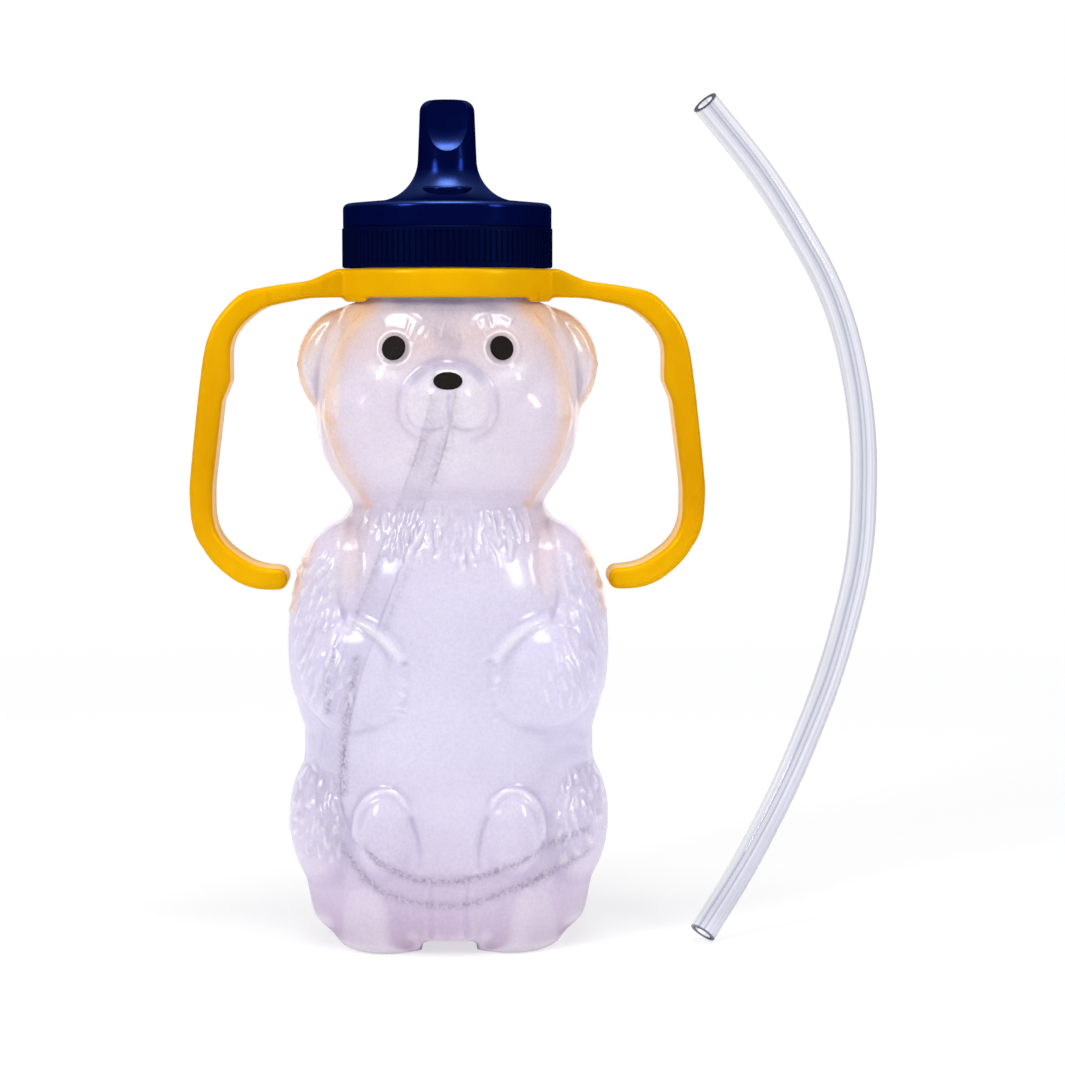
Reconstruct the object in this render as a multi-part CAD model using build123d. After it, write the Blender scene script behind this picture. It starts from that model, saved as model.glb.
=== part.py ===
from build123d import *
import math
import os

# Honey bear bottle with a pair of loop handles, a screw cap with a flip-up cover,
# and two clear drinking tubes. Millimetres, +Z up, the bear faces -Y.
# The origin is on the neck axis, on the surface that the bottle stands on.

# Running and seating clearances
seat_gap = 0.1
running_gap = 0.3
pin_gap = 0.08
overrun = 0.2

# Bottle: overall heights and half sizes
wall = 1.2
crease_height = 88.3
shoulder_height = 128.4
body_half_width = 29.4
body_half_depth = 24.4
head_half_width = 26.3
head_half_depth = 24.4
crease_half_width = 18.8
crease_half_depth = 17.6

# Height, half width and half depth of the trunk, as shares of the crease height,
# the body's half width and its half depth
body_shares = (
    (0.0, 0.83, 0.82),
    (0.022, 0.935, 0.93),
    (0.09, 0.985, 0.98),
    (0.20, 1.0, 1.02),
    (0.33, 1.0, 1.03),
    (0.45, 0.995, 0.99),
    (0.58, 0.985, 0.99),
    (0.72, 0.96, 0.97),
    (0.84, 0.90, 0.91),
    (0.93, 0.78, 0.82),
    (1.0, crease_half_width / body_half_width, crease_half_depth / body_half_depth),
)
# The same for the head, from the crease up to the shoulder
head_shares = (
    (0.0, crease_half_width / head_half_width, crease_half_depth / head_half_depth),
    (0.10, 0.83, 0.83),
    (0.20, 0.925, 0.925),
    (0.32, 0.98, 0.985),
    (0.47, 1.0, 1.0),
    (0.63, 0.99, 0.985),
    (0.77, 0.95, 0.94),
    (0.88, 0.885, 0.885),
    (0.96, 0.81, 0.82),
    (1.0, 0.745, 0.785),
)

# Ears: round, flat, dished in front
ear_radius = 12.2
ear_half_thickness = 5.0
ear_reach = 30.4
ear_height = 116.0
ear_back = 1.5
ear_dish_depth = 1.1
ear_dish_radius = 9.0

# Muzzle
muzzle_half_width = 9.7
muzzle_half_depth = 7.6
muzzle_half_height = 6.9
muzzle_height = 110.3
muzzle_stand_out = 3.9

# Cheeks
cheek_half_width = 12.0
cheek_half_depth = 12.6
cheek_half_height = 10.0
cheek_height = 105.2
cheek_spread = 12.6
cheek_stand_out = 0.9

# Arms with their rounded tops, and paws
arm_reach = 32.7
arm_half_width = 10.2
arm_half_depth = 13.5
arm_half_height = 24.0
arm_height = 60.0
arm_forward = 2.0
arm_top_half_width = 10.0
arm_top_half_depth = 12.5
arm_top_half_height = 10.5
arm_top_height = 74.5
arm_top_spread = 19.0
arm_top_forward = 6.5
paw_half_width = 10.5
paw_half_depth = 9.0
paw_half_height = 10.8
paw_height = 54.5
paw_spread = 18.5
paw_stand_out = 1.4

# Haunches, legs and the soles of the feet
haunch_reach = 32.8
haunch_half_width = 12.2
haunch_half_depth = 19.0
haunch_half_height = 15.2
haunch_height = 24.3
leg_half_width = 10.8
leg_half_depth = 15.5
leg_half_height = 16.5
leg_height = 9.0
leg_spread = 14.6
leg_stand_out = 0.6
sole_half_width = 6.3
sole_half_depth = 5.5
sole_half_height = 8.8
sole_height = 25.0
sole_spread = 12.2
sole_stand_out = 1.7

# Underside: a push-up that opens to the front between the feet
push_up_half_width = 17.0
push_up_half_depth = 13.0
push_up_depth = 2.0
foot_notch_width = 10.8
foot_notch_height = 3.0
foot_notch_corner = 1.4

# Eyes and nose: printed spots, each in a shallow raised ring
spot_thickness = 0.45
spot_inset = 0.3
spot_rim = 0.7
spot_rim_height = 0.3
spot_rim_root = 0.9
eye_radius = 2.42
eye_spread = 10.4
eye_height = 119.7
eye_turn_angle = 23.0
eye_tilt_angle = 15.0
nose_half_width = 2.8
nose_half_height = 1.9
nose_height = 113.5
nose_tilt_angle = 30.0

# Neck finish with its bead and thread
neck_radius = 17.4
neck_wall = 1.4
neck_rise = 13.6
bead_radius = 18.8
bead_height = 2.6
bead_rise = 2.6
thread_pitch = 4.23
thread_depth = 1.3
thread_root_width = 2.0
thread_crest_width = 1.0
thread_turns = 1.05
thread_rise = 8.0
thread_play = 0.3
cap_thread_turns = 1.0
cap_thread_start_angle = 180

# Handle moulding: a collar ring and two open-ended loops
collar_rise = 1.1
collar_height = 5.7
collar_band = 2.1
collar_edge = 0.5
collar_lip_height = 0.95
collar_lip_inset = 16.0
strap_depth = 12.0
strap_edge = 1.1
grip_reach = 52.6
grip_thickness = 5.4
grip_height = 91.5
grip_radius = 30.0
loop_top_thickness = 4.2
loop_top_drop = 3.4
loop_knee_share = 1.3
loop_knee_radius = 8.0
loop_crown_setback = 5.0
loop_crown_radius = 9.0
loop_thumb_width = 0.5
loop_end_thickness = 4.3
loop_end_round = 2.0
loop_end_gap = 0.5
loop_bottom_height = 70.1
bump_height_share = 0.53
bump_drop = 4.0
bump_depth = 1.1
bump_stand_in = 0.6
bump_radius = 1.3

# The loop's rounds as shares of the room beside them, where that is less than their own radius
loop_foot_share = 0.983
loop_side_share = 0.8
loop_grip_share = 3.0
loop_end_share = 0.465

# Cap body
skirt_radius = 21.1
skirt_height = 8.0
thread_wall = 2.05
deck_step = 1.6
upstand_radius = 19.5
rib_count = 108
rib_depth = 0.25
rib_margin = 0.9
liner_thickness = 0.8
liner_width = 3.7

# Spout
spout_seat_radius = 4.4
spout_tip_radius = 3.1
spout_foot_radius = 3.6
spout_rise = 12.5
spout_tip_round = 0.9
spout_bore = 2.6
spout_flange_radius = 6.2
spout_flange_height = 1.0
spout_lower_flange_radius = 6.6
spout_cone_height = 2.2
spout_cone_radius = 3.0
spout_stub_length = 8.0

# Flip cover
cover_radius = 20.9
cover_height = 4.6
cover_wall = 1.0
cover_top_thickness = 1.5
cover_edge = 1.2
cover_dome = 1.0
tower_height = 20.6
tower_radius = 5.8
tower_top_radius = 5.4
tower_top_edge = 2.3
tower_flare = 8.5
tower_wall = 1.35
scoop_half_width = 9.0
scoop_half_depth = 5.4
scoop_half_height = 9.6
scoop_cut_depth = 2.7
scoop_drop = 1.8
core_half_width = 3.2
core_half_depth = 2.6
pocket_slack_share = 0.75
pocket_corner_share = 0.7
toe_width = 10.4
toe_height = 2.3
toe_reach = 10.6

# Hinge at the back of the cap
hinge_setback = 2.3
hinge_lift = 0.15
knuckle_radius = 1.9
knuckle_width = 9.4
ear_plate_width = 2.4
plate_heel_drop = 2.3
web_bite = 0.6
trunnion_radius = 1.0

# Drinking tubes
tube_diameter = 5.4
tube_bore = 3.6
tube_bend_share = 0.45


def ellipsoid(half_width, half_depth, half_height):
    """A ball stretched to three half sizes."""
    return scale(Sphere(1), by=(half_width, half_depth, half_height))


def mirrored(form):
    """The form and its mirror image on the bear's other side."""
    return form + mirror(form, about=Plane.YZ)


def skinned_loft(shares, base, height, half_width, half_depth, inset, lift, drop):
    """A loft through ellipses, drawn in by inset all round, with its ends moved in."""
    sections = []
    for height_share, width_share, depth_share in shares:
        level = base + lift + height_share * (height - lift - drop)
        outline = Ellipse(half_width * width_share - inset, half_depth * depth_share - inset)
        sections.append(Pos(0, 0, level) * outline)
    return loft(sections)


def half_depth_at(shares, base, height, half_depth, level):
    """Half depth of a lofted form at a level, read between two sections."""
    share = (level - base) / height
    for lower, upper in zip(shares, shares[1:]):
        if share <= upper[0]:
            blend = (share - lower[0]) / (upper[0] - lower[0])
            return half_depth * (lower[2] + blend * (upper[2] - lower[2]))
    return half_depth * shares[-1][2]


head_height = shoulder_height - crease_height


def head_depth_at(level):
    """Half depth of the head at a level."""
    return half_depth_at(head_shares, crease_height, head_height, head_half_depth, level)


def body_depth_at(level):
    """Half depth of the trunk at a level."""
    return half_depth_at(body_shares, 0, crease_height, body_half_depth, level)


def depth_off_axis(half_width, half_depth, offset):
    """Depth of an ellipse at a distance to one side of its centre."""
    return half_depth * math.sqrt(1 - (offset / half_width) ** 2)


def muzzle_centre_depth():
    """How far in front of the neck axis the muzzle's centre lies."""
    return head_depth_at(muzzle_height) + muzzle_stand_out - muzzle_half_depth


def limb_forms(inset):
    """Ears, cheeks, arms, paws, haunches, legs, soles and muzzle, each drawn in by inset."""
    ear_depth_inset = inset + ear_dish_depth / 2 if inset else 0
    ear_shift = ear_dish_depth / 2 if inset else 0
    ear = Pos(ear_reach - ear_radius, ear_back + ear_shift, ear_height) * ellipsoid(
        ear_radius - inset, ear_half_thickness - ear_depth_inset, ear_radius - inset
    )
    cheek_depth = depth_off_axis(head_half_width, head_depth_at(cheek_height), cheek_spread)
    cheek = Pos(cheek_spread, cheek_half_depth - cheek_depth - cheek_stand_out, cheek_height) * (
        ellipsoid(cheek_half_width - inset, cheek_half_depth - inset, cheek_half_height - inset)
    )
    arm = Pos(arm_reach - arm_half_width, -arm_forward, arm_height) * ellipsoid(
        arm_half_width - inset, arm_half_depth - inset, arm_half_height - inset
    )
    arm_top = Pos(arm_top_spread, -arm_top_forward, arm_top_height) * ellipsoid(
        arm_top_half_width - inset, arm_top_half_depth - inset, arm_top_half_height - inset
    )
    paw_depth = body_depth_at(paw_height) + paw_stand_out - paw_half_depth
    paw = Pos(paw_spread, -paw_depth, paw_height) * ellipsoid(
        paw_half_width - inset, paw_half_depth - inset, paw_half_height - inset
    )
    haunch = Pos(haunch_reach - haunch_half_width, 0, haunch_height) * ellipsoid(
        haunch_half_width - inset, haunch_half_depth - inset, haunch_half_height - inset
    )
    leg_depth = body_depth_at(leg_height) + leg_stand_out - leg_half_depth
    leg = Pos(leg_spread, -leg_depth, leg_height) * ellipsoid(
        leg_half_width - inset, leg_half_depth - inset, leg_half_height - inset
    )
    sole_depth = body_depth_at(sole_height) + sole_stand_out - sole_half_depth
    sole = Pos(sole_spread, -sole_depth, sole_height) * ellipsoid(
        sole_half_width - inset, sole_half_depth - inset, sole_half_height - inset
    )
    muzzle = Pos(0, -muzzle_centre_depth(), muzzle_height) * ellipsoid(
        muzzle_half_width - inset, muzzle_half_depth - inset, muzzle_half_height - inset
    )
    pairs = (ear, cheek, arm, arm_top, paw, haunch, leg, sole)
    forms = [mirrored(form) for form in pairs]
    return forms + [muzzle]


def bear_form(inset):
    """The whole bear, drawn in by inset: zero for the skin, the wall for the hollow."""
    form = skinned_loft(
        body_shares, 0, crease_height, body_half_width, body_half_depth, inset, inset, 0
    )
    form += skinned_loft(
        head_shares, crease_height, head_height, head_half_width, head_half_depth, inset, 0, inset
    )
    for limb in limb_forms(inset):
        form += limb
    below = Box(
        4 * body_half_width, 4 * body_half_depth, 2 * leg_half_height,
        align=(Align.CENTER, Align.CENTER, Align.MAX),
    )
    return form - Pos(0, 0, inset) * below


def push_up(grow):
    """The hollow under the bottle and its way out between the feet."""
    hollow = Pos(0, 0, -overrun) * extrude(
        Ellipse(push_up_half_width + grow, push_up_half_depth + grow), push_up_depth + grow + overrun
    )
    notch_width = foot_notch_width + 2 * grow
    notch_height = foot_notch_height + grow + overrun
    notch = Pos(0, 0, -overrun) * Box(
        notch_width, 2 * body_half_depth, notch_height,
        align=(Align.CENTER, Align.MAX, Align.MIN),
    )
    upper_edges = notch.edges().filter_by(Axis.Y).group_by(Axis.Z)[-1]
    return hollow + fillet(upper_edges, foot_notch_corner)


def ear_dishes():
    """The shallow dish in the front of each ear."""
    dish_half_depth = ear_dish_depth * 2
    front = ear_half_thickness - ear_back + dish_half_depth - ear_dish_depth
    dish = Pos(ear_reach - ear_radius, -front, ear_height) * ellipsoid(
        ear_dish_radius, dish_half_depth, ear_dish_radius
    )
    return mirrored(dish)


def eye_seat():
    """Plane on the head's skin at the right eye, facing outwards."""
    depth = depth_off_axis(head_half_width, head_depth_at(eye_height), eye_spread)
    turn = math.radians(eye_turn_angle)
    tilt = math.radians(eye_tilt_angle)
    normal = (
        math.cos(tilt) * math.sin(turn), -math.cos(tilt) * math.cos(turn), math.sin(tilt),
    )
    return Plane(origin=(eye_spread, -depth, eye_height), x_dir=(0, 0, 1), z_dir=normal)


def nose_seat():
    """Plane on the muzzle's skin at the nose, facing outwards and up."""
    rise = (nose_height - muzzle_height) / muzzle_half_height
    depth = muzzle_centre_depth() + muzzle_half_depth * math.sqrt(1 - rise**2)
    tilt = math.radians(nose_tilt_angle)
    return Plane(
        origin=(0, -depth, nose_height), x_dir=(1, 0, 0), z_dir=(0, -math.cos(tilt), math.sin(tilt))
    )


def spot_outline(half_width, half_height, grow):
    """The outline of an eye or the nose, grown by a margin."""
    return Ellipse(half_width + grow, half_height + grow)


def spot_rim_solid(seat, half_width, half_height):
    """The raised pad that a printed spot lies in."""
    pad = extrude(
        spot_outline(half_width, half_height, spot_rim), spot_rim_root + spot_rim_height
    )
    return seat * Pos(0, 0, -spot_rim_root) * pad


def spot_recess(seat, half_width, half_height):
    """The flat-bottomed recess in the pad."""
    recess = extrude(
        spot_outline(half_width, half_height, pin_gap), spot_inset + overrun
    )
    return seat * Pos(0, 0, spot_rim_height - spot_inset) * recess


def spot_solid(seat, half_width, half_height):
    """A printed spot with a softly rounded face, flat on the floor of its recess."""
    spot = extrude(spot_outline(half_width, half_height, 0), spot_thickness)
    spot = fillet(spot.edges().group_by(Axis.Z)[-1], spot_thickness / 2)
    return seat * Pos(0, 0, spot_rim_height - spot_inset) * spot


neck_top = shoulder_height + neck_rise
neck_bore_radius = neck_radius - neck_wall
skirt_bottom = shoulder_height + collar_rise + collar_height + running_gap / 2
thread_base = shoulder_height + thread_rise


def thread_ridge(radius, direction, base, turns, start_angle):
    """A helical ridge that stands out of a cylinder, outwards or inwards."""
    path = Helix(pitch=thread_pitch, height=thread_pitch * turns, radius=radius)
    section_plane = Plane(origin=path @ 0, x_dir=(direction, 0, 0), z_dir=path % 0)
    root = thread_root_width / 2
    crest = thread_crest_width / 2
    profile = Polygon(
        (-overrun, -root), (0, -root), (thread_depth, -crest),
        (thread_depth, crest), (0, root), (-overrun, root), align=None,
    )
    ridge = sweep(section_plane * profile, path=path, is_frenet=True)
    return Pos(0, 0, base) * Rot(0, 0, start_angle) * ridge


def neck_finish():
    """The threaded neck with the bead that centres the handle collar."""
    neck = Pos(0, 0, shoulder_height - wall) * Cylinder(
        neck_radius, neck_rise + wall, align=(Align.CENTER, Align.CENTER, Align.MIN)
    )
    bead = Pos(0, 0, shoulder_height + bead_rise) * Cylinder(
        bead_radius, bead_height, align=(Align.CENTER, Align.CENTER, Align.MIN)
    )
    bead = fillet(bead.edges().filter_by(GeomType.CIRCLE), (bead_radius - neck_radius) / 2)
    thread = thread_ridge(neck_radius, 1, thread_base, thread_turns, 0)
    return neck + bead + thread


def bear_bottle():
    """The blow-moulded bear: one even wall, open through the neck."""
    skin = bear_form(0) + neck_finish()
    eyes = eye_seat()
    nose = nose_seat()
    skin += mirrored(spot_rim_solid(eyes, eye_radius, eye_radius))
    skin += spot_rim_solid(nose, nose_half_width, nose_half_height)
    skin -= ear_dishes()
    skin -= push_up(0)
    skin -= mirrored(spot_recess(eyes, eye_radius, eye_radius))
    skin -= spot_recess(nose, nose_half_width, nose_half_height)
    hollow = bear_form(wall) - push_up(wall)
    bore = Pos(0, 0, shoulder_height - 2 * wall) * Cylinder(
        neck_bore_radius, neck_rise + 2 * wall + overrun,
        align=(Align.CENTER, Align.CENTER, Align.MIN),
    )
    return skin - (hollow + bore)


collar_bottom = shoulder_height + collar_rise
collar_top = collar_bottom + collar_height
collar_bore_radius = bead_radius + running_gap
collar_radius = collar_bore_radius + collar_band
loop_end_reach = arm_reach - arm_half_width + loop_end_gap + arm_half_width * math.sqrt(
    1 - ((loop_bottom_height - arm_height) / arm_half_height) ** 2
)


def loop_corners():
    """Corners of one loop seen from the front, each with its radius."""
    root = collar_bore_radius + collar_band / 2
    top = collar_top - loop_top_drop
    knee = collar_radius * loop_knee_share
    crown = grip_reach - loop_crown_setback
    inner = grip_reach - grip_thickness
    rest = crown - loop_top_thickness + loop_thumb_width
    foot = loop_bottom_height
    foot_top = foot + loop_end_thickness
    end_round = min(loop_end_round, loop_end_thickness * loop_end_share)
    end_room = inner - loop_end_reach - end_round
    side_room = grip_height - foot_top
    foot_round = min(end_room * loop_foot_share, side_room * loop_side_share)
    grip_round = min(grip_radius, side_room * loop_grip_share)
    bump = grip_height + (top - grip_height) * bump_height_share
    crown_room = min(rest - knee, top - loop_top_thickness - bump)
    crown_round = min(loop_crown_radius, crown_room * loop_side_share)
    return (
        (root, collar_bottom, 0),
        (root, collar_top, 0),
        (collar_radius + loop_end_round / 2, collar_top, loop_end_round),
        (knee, top + loop_end_round / 2, loop_knee_radius),
        (crown, top, loop_crown_radius),
        (grip_reach, grip_height, grip_round),
        (grip_reach, foot, foot_round + loop_end_thickness),
        (loop_end_reach, foot, end_round),
        (loop_end_reach, foot_top, end_round),
        (inner, foot_top, foot_round),
        (inner, grip_height, grip_round),
        (rest + bump_depth, bump - bump_drop, bump_radius * 2),
        (rest - bump_stand_in, bump, bump_radius),
        (rest, top - loop_top_thickness, crown_round),
        (knee, collar_bottom - seat_gap, loop_knee_radius),
    )


def handle_loop():
    """One open-ended loop with rounded long edges."""
    corners = loop_corners()
    points = [(reach, 0, level) for reach, level, radius in corners]
    radii = [radius for reach, level, radius in corners]
    outline = make_face(FilletPolyline(*points, radius=radii, close=True))
    strap = extrude(outline, strap_depth / 2, dir=(0, 1, 0), both=True)
    rims = strap.edges().group_by(Axis.Y)
    return fillet(rims[0] + rims[-1], strap_edge)


def ring(outer_radius, inner_radius, height):
    """A flat ring that stands on its plane."""
    return extrude(Circle(outer_radius) - Circle(inner_radius), height)


def handle_collar():
    """The collar ring with its two loops and the lips that rest on the shoulder."""
    collar = Pos(0, 0, collar_bottom) * ring(collar_radius, collar_bore_radius, collar_height)
    collar = fillet(collar.edges().filter_by(GeomType.CIRCLE), collar_edge)
    collar += mirrored(handle_loop())
    lip_level = collar_bottom - collar_lip_height
    lips = Pos(0, 0, lip_level) * ring(
        collar_radius - collar_edge, collar_bore_radius, collar_lip_height + collar_edge
    )
    gap = Pos(0, 0, lip_level) * Box(
        2 * collar_lip_inset, 2 * collar_radius, 2 * collar_lip_height,
    )
    return collar + (lips - gap)


skirt_top = skirt_bottom + skirt_height
thread_bore_radius = skirt_radius - thread_wall
liner_bottom = neck_top + seat_gap
deck_bottom = liner_bottom + liner_thickness
deck_top = skirt_top + deck_step
hinge_depth = skirt_radius + hinge_setback
hinge_height = skirt_top + hinge_lift


def ribbed_skirt():
    """The skirt with fine upright ribs all round."""
    outline = Circle(skirt_radius)
    groove = Circle(rib_depth)
    for rib in range(rib_count):
        outline -= Rot(0, 0, rib * 360 / rib_count) * Pos(skirt_radius, 0) * groove
    plain = Pos(0, 0, skirt_bottom) * Cylinder(
        skirt_radius, skirt_height, align=(Align.CENTER, Align.CENTER, Align.MIN)
    )
    plain = chamfer(plain.edges().filter_by(GeomType.CIRCLE), rib_depth)
    cut = Pos(0, 0, skirt_bottom + rib_margin) * extrude(
        Circle(skirt_radius + rib_depth) - outline, skirt_height - 2 * rib_margin
    )
    return plain - cut


def hinge_plates():
    """Two ears behind the skirt with holes for the cover's trunnions."""
    root = thread_bore_radius + seat_gap
    plate_outline = Polygon(
        (root, skirt_top), (root, skirt_top - 2 * knuckle_radius - rib_margin),
        (hinge_depth + knuckle_radius / 2, hinge_height - plate_heel_drop),
        (hinge_depth + knuckle_radius, hinge_height), align=None,
    )
    plate_outline += Pos(hinge_depth, hinge_height) * Circle(knuckle_radius)
    plate_outline -= Pos(hinge_depth, hinge_height) * Circle(trunnion_radius + pin_gap)
    plate = extrude(Plane.YZ * plate_outline, ear_plate_width)
    return mirrored(Pos(knuckle_width / 2 + running_gap, 0, 0) * plate)


def cap_body():
    """The screw cap: ribbed skirt, inner thread, raised deck with the spout's hole."""
    cap = ribbed_skirt() + hinge_plates()
    upstand = Pos(0, 0, skirt_top - wall) * Cylinder(
        upstand_radius, deck_step + wall, align=(Align.CENTER, Align.CENTER, Align.MIN)
    )
    cap += upstand
    cap -= Pos(0, 0, skirt_bottom - overrun) * Cylinder(
        thread_bore_radius, deck_bottom - skirt_bottom + overrun,
        align=(Align.CENTER, Align.CENTER, Align.MIN),
    )
    cap -= Pos(0, 0, deck_bottom - overrun) * Cylinder(
        spout_seat_radius + pin_gap, deck_top - deck_bottom + 2 * overrun,
        align=(Align.CENTER, Align.CENTER, Align.MIN),
    )
    drop = (thread_root_width + thread_crest_width) / 2 + thread_play
    base = thread_base - drop + thread_pitch / 2
    return cap + thread_ridge(thread_bore_radius, -1, base, cap_thread_turns, cap_thread_start_angle)


def cap_liner():
    """The sealing washer between the deck and the rim of the neck."""
    outer = thread_bore_radius - running_gap
    return Pos(0, 0, liner_bottom) * ring(outer, outer - liner_width, liner_thickness)


spout_top = deck_top + spout_rise
stub_bottom = deck_bottom - spout_flange_height - spout_cone_height - spout_stub_length
tube_top = deck_bottom - spout_flange_height - spout_cone_height


def drinking_spout():
    """Soft spout through the deck, with a stub below that the tube is pushed onto."""
    flange_bottom = deck_bottom - spout_flange_height
    flange_top = deck_top + spout_flange_height
    stub_radius = tube_bore / 2 - seat_gap / 2
    profile = Polygon(
        (0, stub_bottom), (stub_radius, stub_bottom), (stub_radius, tube_top),
        (spout_cone_radius, flange_bottom), (spout_lower_flange_radius, flange_bottom),
        (spout_lower_flange_radius, deck_bottom), (spout_seat_radius, deck_bottom),
        (spout_seat_radius, deck_top), (spout_flange_radius, deck_top),
        (spout_flange_radius, flange_top), (spout_foot_radius, flange_top),
        (spout_tip_radius, spout_top), (0, spout_top), align=None,
    )
    spout = revolve(Plane.XZ * profile, Axis.Z)
    spout = fillet(spout.edges().group_by(Axis.Z)[-1], spout_tip_round)
    bore = Pos(0, 0, stub_bottom - overrun) * Cylinder(
        spout_bore / 2, spout_top - stub_bottom + 2 * overrun,
        align=(Align.CENTER, Align.CENTER, Align.MIN),
    )
    return spout - bore


cover_bottom = skirt_top + seat_gap
cover_rim = cover_bottom + cover_height
cover_underside = cover_rim - cover_top_thickness
tower_top = cover_rim + tower_height
pocket_top = spout_top + tower_wall


def cover_shell():
    """The domed disc that flares up into the tower, hollow underneath."""
    slope = (tower_radius - tower_top_radius) / tower_height
    flare_foot = tower_radius + slope * tower_height
    dome_top = cover_rim + cover_dome * (1 + flare_foot / cover_radius)
    outline = FilletPolyline(
        (0, 0, tower_top), (tower_top_radius, 0, tower_top), (flare_foot, 0, dome_top),
        (cover_radius, 0, cover_rim), (cover_radius, 0, cover_bottom),
        radius=(tower_top_edge, tower_flare, cover_edge),
    )
    inner = Polyline(
        (cover_radius, 0, cover_bottom), (cover_radius - cover_wall, 0, cover_bottom),
        (cover_radius - cover_wall, 0, cover_underside), (0, 0, cover_underside), (0, 0, tower_top),
    )
    return revolve(make_face([*outline.edges(), *inner.edges()]), Axis.Z)


def swing_front(level):
    """How far forward the tower's pocket reaches so that it swings clear of the spout."""
    swing = math.hypot(hinge_depth + spout_tip_radius, spout_top - hinge_height) + running_gap
    return math.sqrt(swing**2 - (level - hinge_height) ** 2) - hinge_depth


def tower_pocket():
    """The pocket that the spout stands in, curved in front about the hinge."""
    bottom = cover_underside - overrun
    middle = (bottom + pocket_top) / 2
    rear = spout_foot_radius + tower_wall * pocket_slack_share
    rear_top = spout_tip_radius + tower_wall * pocket_slack_share
    fronts = [swing_front(min(level, spout_top)) for level in (bottom, middle, pocket_top)]
    arc = ThreePointArc(
        (0, -fronts[0], bottom), (0, -fronts[1], middle), (0, -fronts[2], pocket_top)
    )
    walls = Polyline(
        (0, -fronts[2], pocket_top), (0, rear_top, pocket_top), (0, rear, bottom),
        (0, -fronts[0], bottom),
    )
    pocket = extrude(
        make_face([arc.edge(), *walls.edges()]), rear, dir=(1, 0, 0), both=True
    )
    upright = pocket.edges().filter_by(lambda edge: abs((edge @ 0).Z - (edge @ 1).Z) > wall)
    pocket = fillet(upright, rear * pocket_corner_share)
    core_rear = rear_top - seat_gap
    core_base = pocket_top - tower_wall
    core = Pos(0, core_rear - core_half_depth, core_base) * extrude(
        Ellipse(core_half_width, core_half_depth), tower_top - tower_top_edge - core_base
    )
    return pocket + core


def flip_cover():
    """The cover with its tower, thumb scoop, toe, and knuckle with two trunnions."""
    cover = cover_shell()
    toe_centre = toe_reach - toe_width / 2
    toe = Pos(0, -toe_centre, cover_underside) * Cylinder(
        toe_width / 2, cover_rim + cover_dome + toe_height - cover_underside,
        align=(Align.CENTER, Align.CENTER, Align.MIN),
    )
    cover += fillet(toe.edges().group_by(Axis.Z)[-1], toe_height / 4)
    cover -= tower_pocket()
    scoop_centre = scoop_half_depth + tower_radius - scoop_cut_depth - seat_gap
    cover -= Pos(0, -scoop_centre, tower_top - scoop_drop) * ellipsoid(
        scoop_half_width, scoop_half_depth, scoop_half_height
    )
    knuckle = Cylinder(knuckle_radius, knuckle_width, rotation=(0, 90, 0))
    trunnions = Cylinder(
        trunnion_radius, knuckle_width + 2 * ear_plate_width + running_gap, rotation=(0, 90, 0)
    )
    cover += Pos(0, hinge_depth, hinge_height) * (knuckle + trunnions)
    web_root = cover_radius - web_bite
    web = Pos(0, web_root, cover_bottom) * Box(
        knuckle_width, hinge_depth - web_root, knuckle_radius,
        align=(Align.CENTER, Align.MIN, Align.MIN),
    )
    return cover + web


# Corners of the tube in the bottle, below the neck: shares of the body's half width,
# its half depth and the crease height
tube_route_shares = (
    (-0.735, 0.12, 0.57),
    (-0.87, 0.16, 0.306),
    (-0.715, 0.20, 0.158),
    (-0.31, 0.245, 0.082),
    (0.27, 0.255, 0.075),
    (0.865, 0.225, 0.168),
)
neck_bend_share = 0.48
# Corners of the spare tube, from its foot up: shares of its reach, its bow and its height
spare_reach = 84.2
spare_height = 165.9
spare_bow = 12.0
spare_route_shares = (
    (0.606, 1.0, 0.0),
    (0.712, 0.48, 0.072),
    (0.826, 0.12, 0.175),
    (0.93, 0.0, 0.305),
    (1.003, 0.0, 0.45),
    (1.006, 0.0, 0.615),
    (0.94, 0.04, 0.765),
    (0.77, 0.25, 0.905),
    (0.603, 0.75, 1.0),
)


def bend_radii(points):
    """For each corner, the radius that its two runs allow."""
    radii = []
    for before, corner, after in zip(points, points[1:], points[2:]):
        first = Vector(*corner) - Vector(*before)
        second = Vector(*after) - Vector(*corner)
        half_turn = math.radians(first.get_angle(second)) / 2
        shorter = min(first.length, second.length)
        radii.append(tube_bend_share * shorter / math.tan(half_turn))
    return radii


def tube_along(points, name):
    """A hollow tube of straight runs and tangent arcs."""
    radii = bend_radii(points)
    path = FilletPolyline(*points, radius=radii)
    start = Plane(origin=path @ 0, z_dir=path % 0)
    section = start * (Circle(tube_diameter / 2) - Circle(tube_bore / 2))
    print(name, "length", round(path.length, 1), "radii", [round(radius, 1) for radius in radii])
    return sweep(section, path=path)


def drinking_tube():
    """The tube in the bottle, from the spout's stub down and round the bottom."""
    points = [(0, 0, tube_top), (0, 0, crease_height + head_height * neck_bend_share)]
    for width_share, depth_share, height_share in tube_route_shares:
        points.append(
            (
                body_half_width * width_share,
                body_half_depth * depth_share,
                crease_height * height_share,
            )
        )
    return tube_along(points, "drinking_tube")


def spare_tube():
    """The second tube, bowed towards the front at both ends, with its foot on the floor."""
    points = [
        (spare_reach * reach_share, -spare_bow * bow_share, spare_height * height_share)
        for reach_share, bow_share, height_share in spare_route_shares
    ]
    foot_run = Vector(*points[1]) - Vector(*points[0])
    lift = tube_diameter / 2 * math.hypot(foot_run.X, foot_run.Y) / foot_run.length
    return Pos(0, 0, lift) * tube_along(points, "spare_tube")


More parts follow.
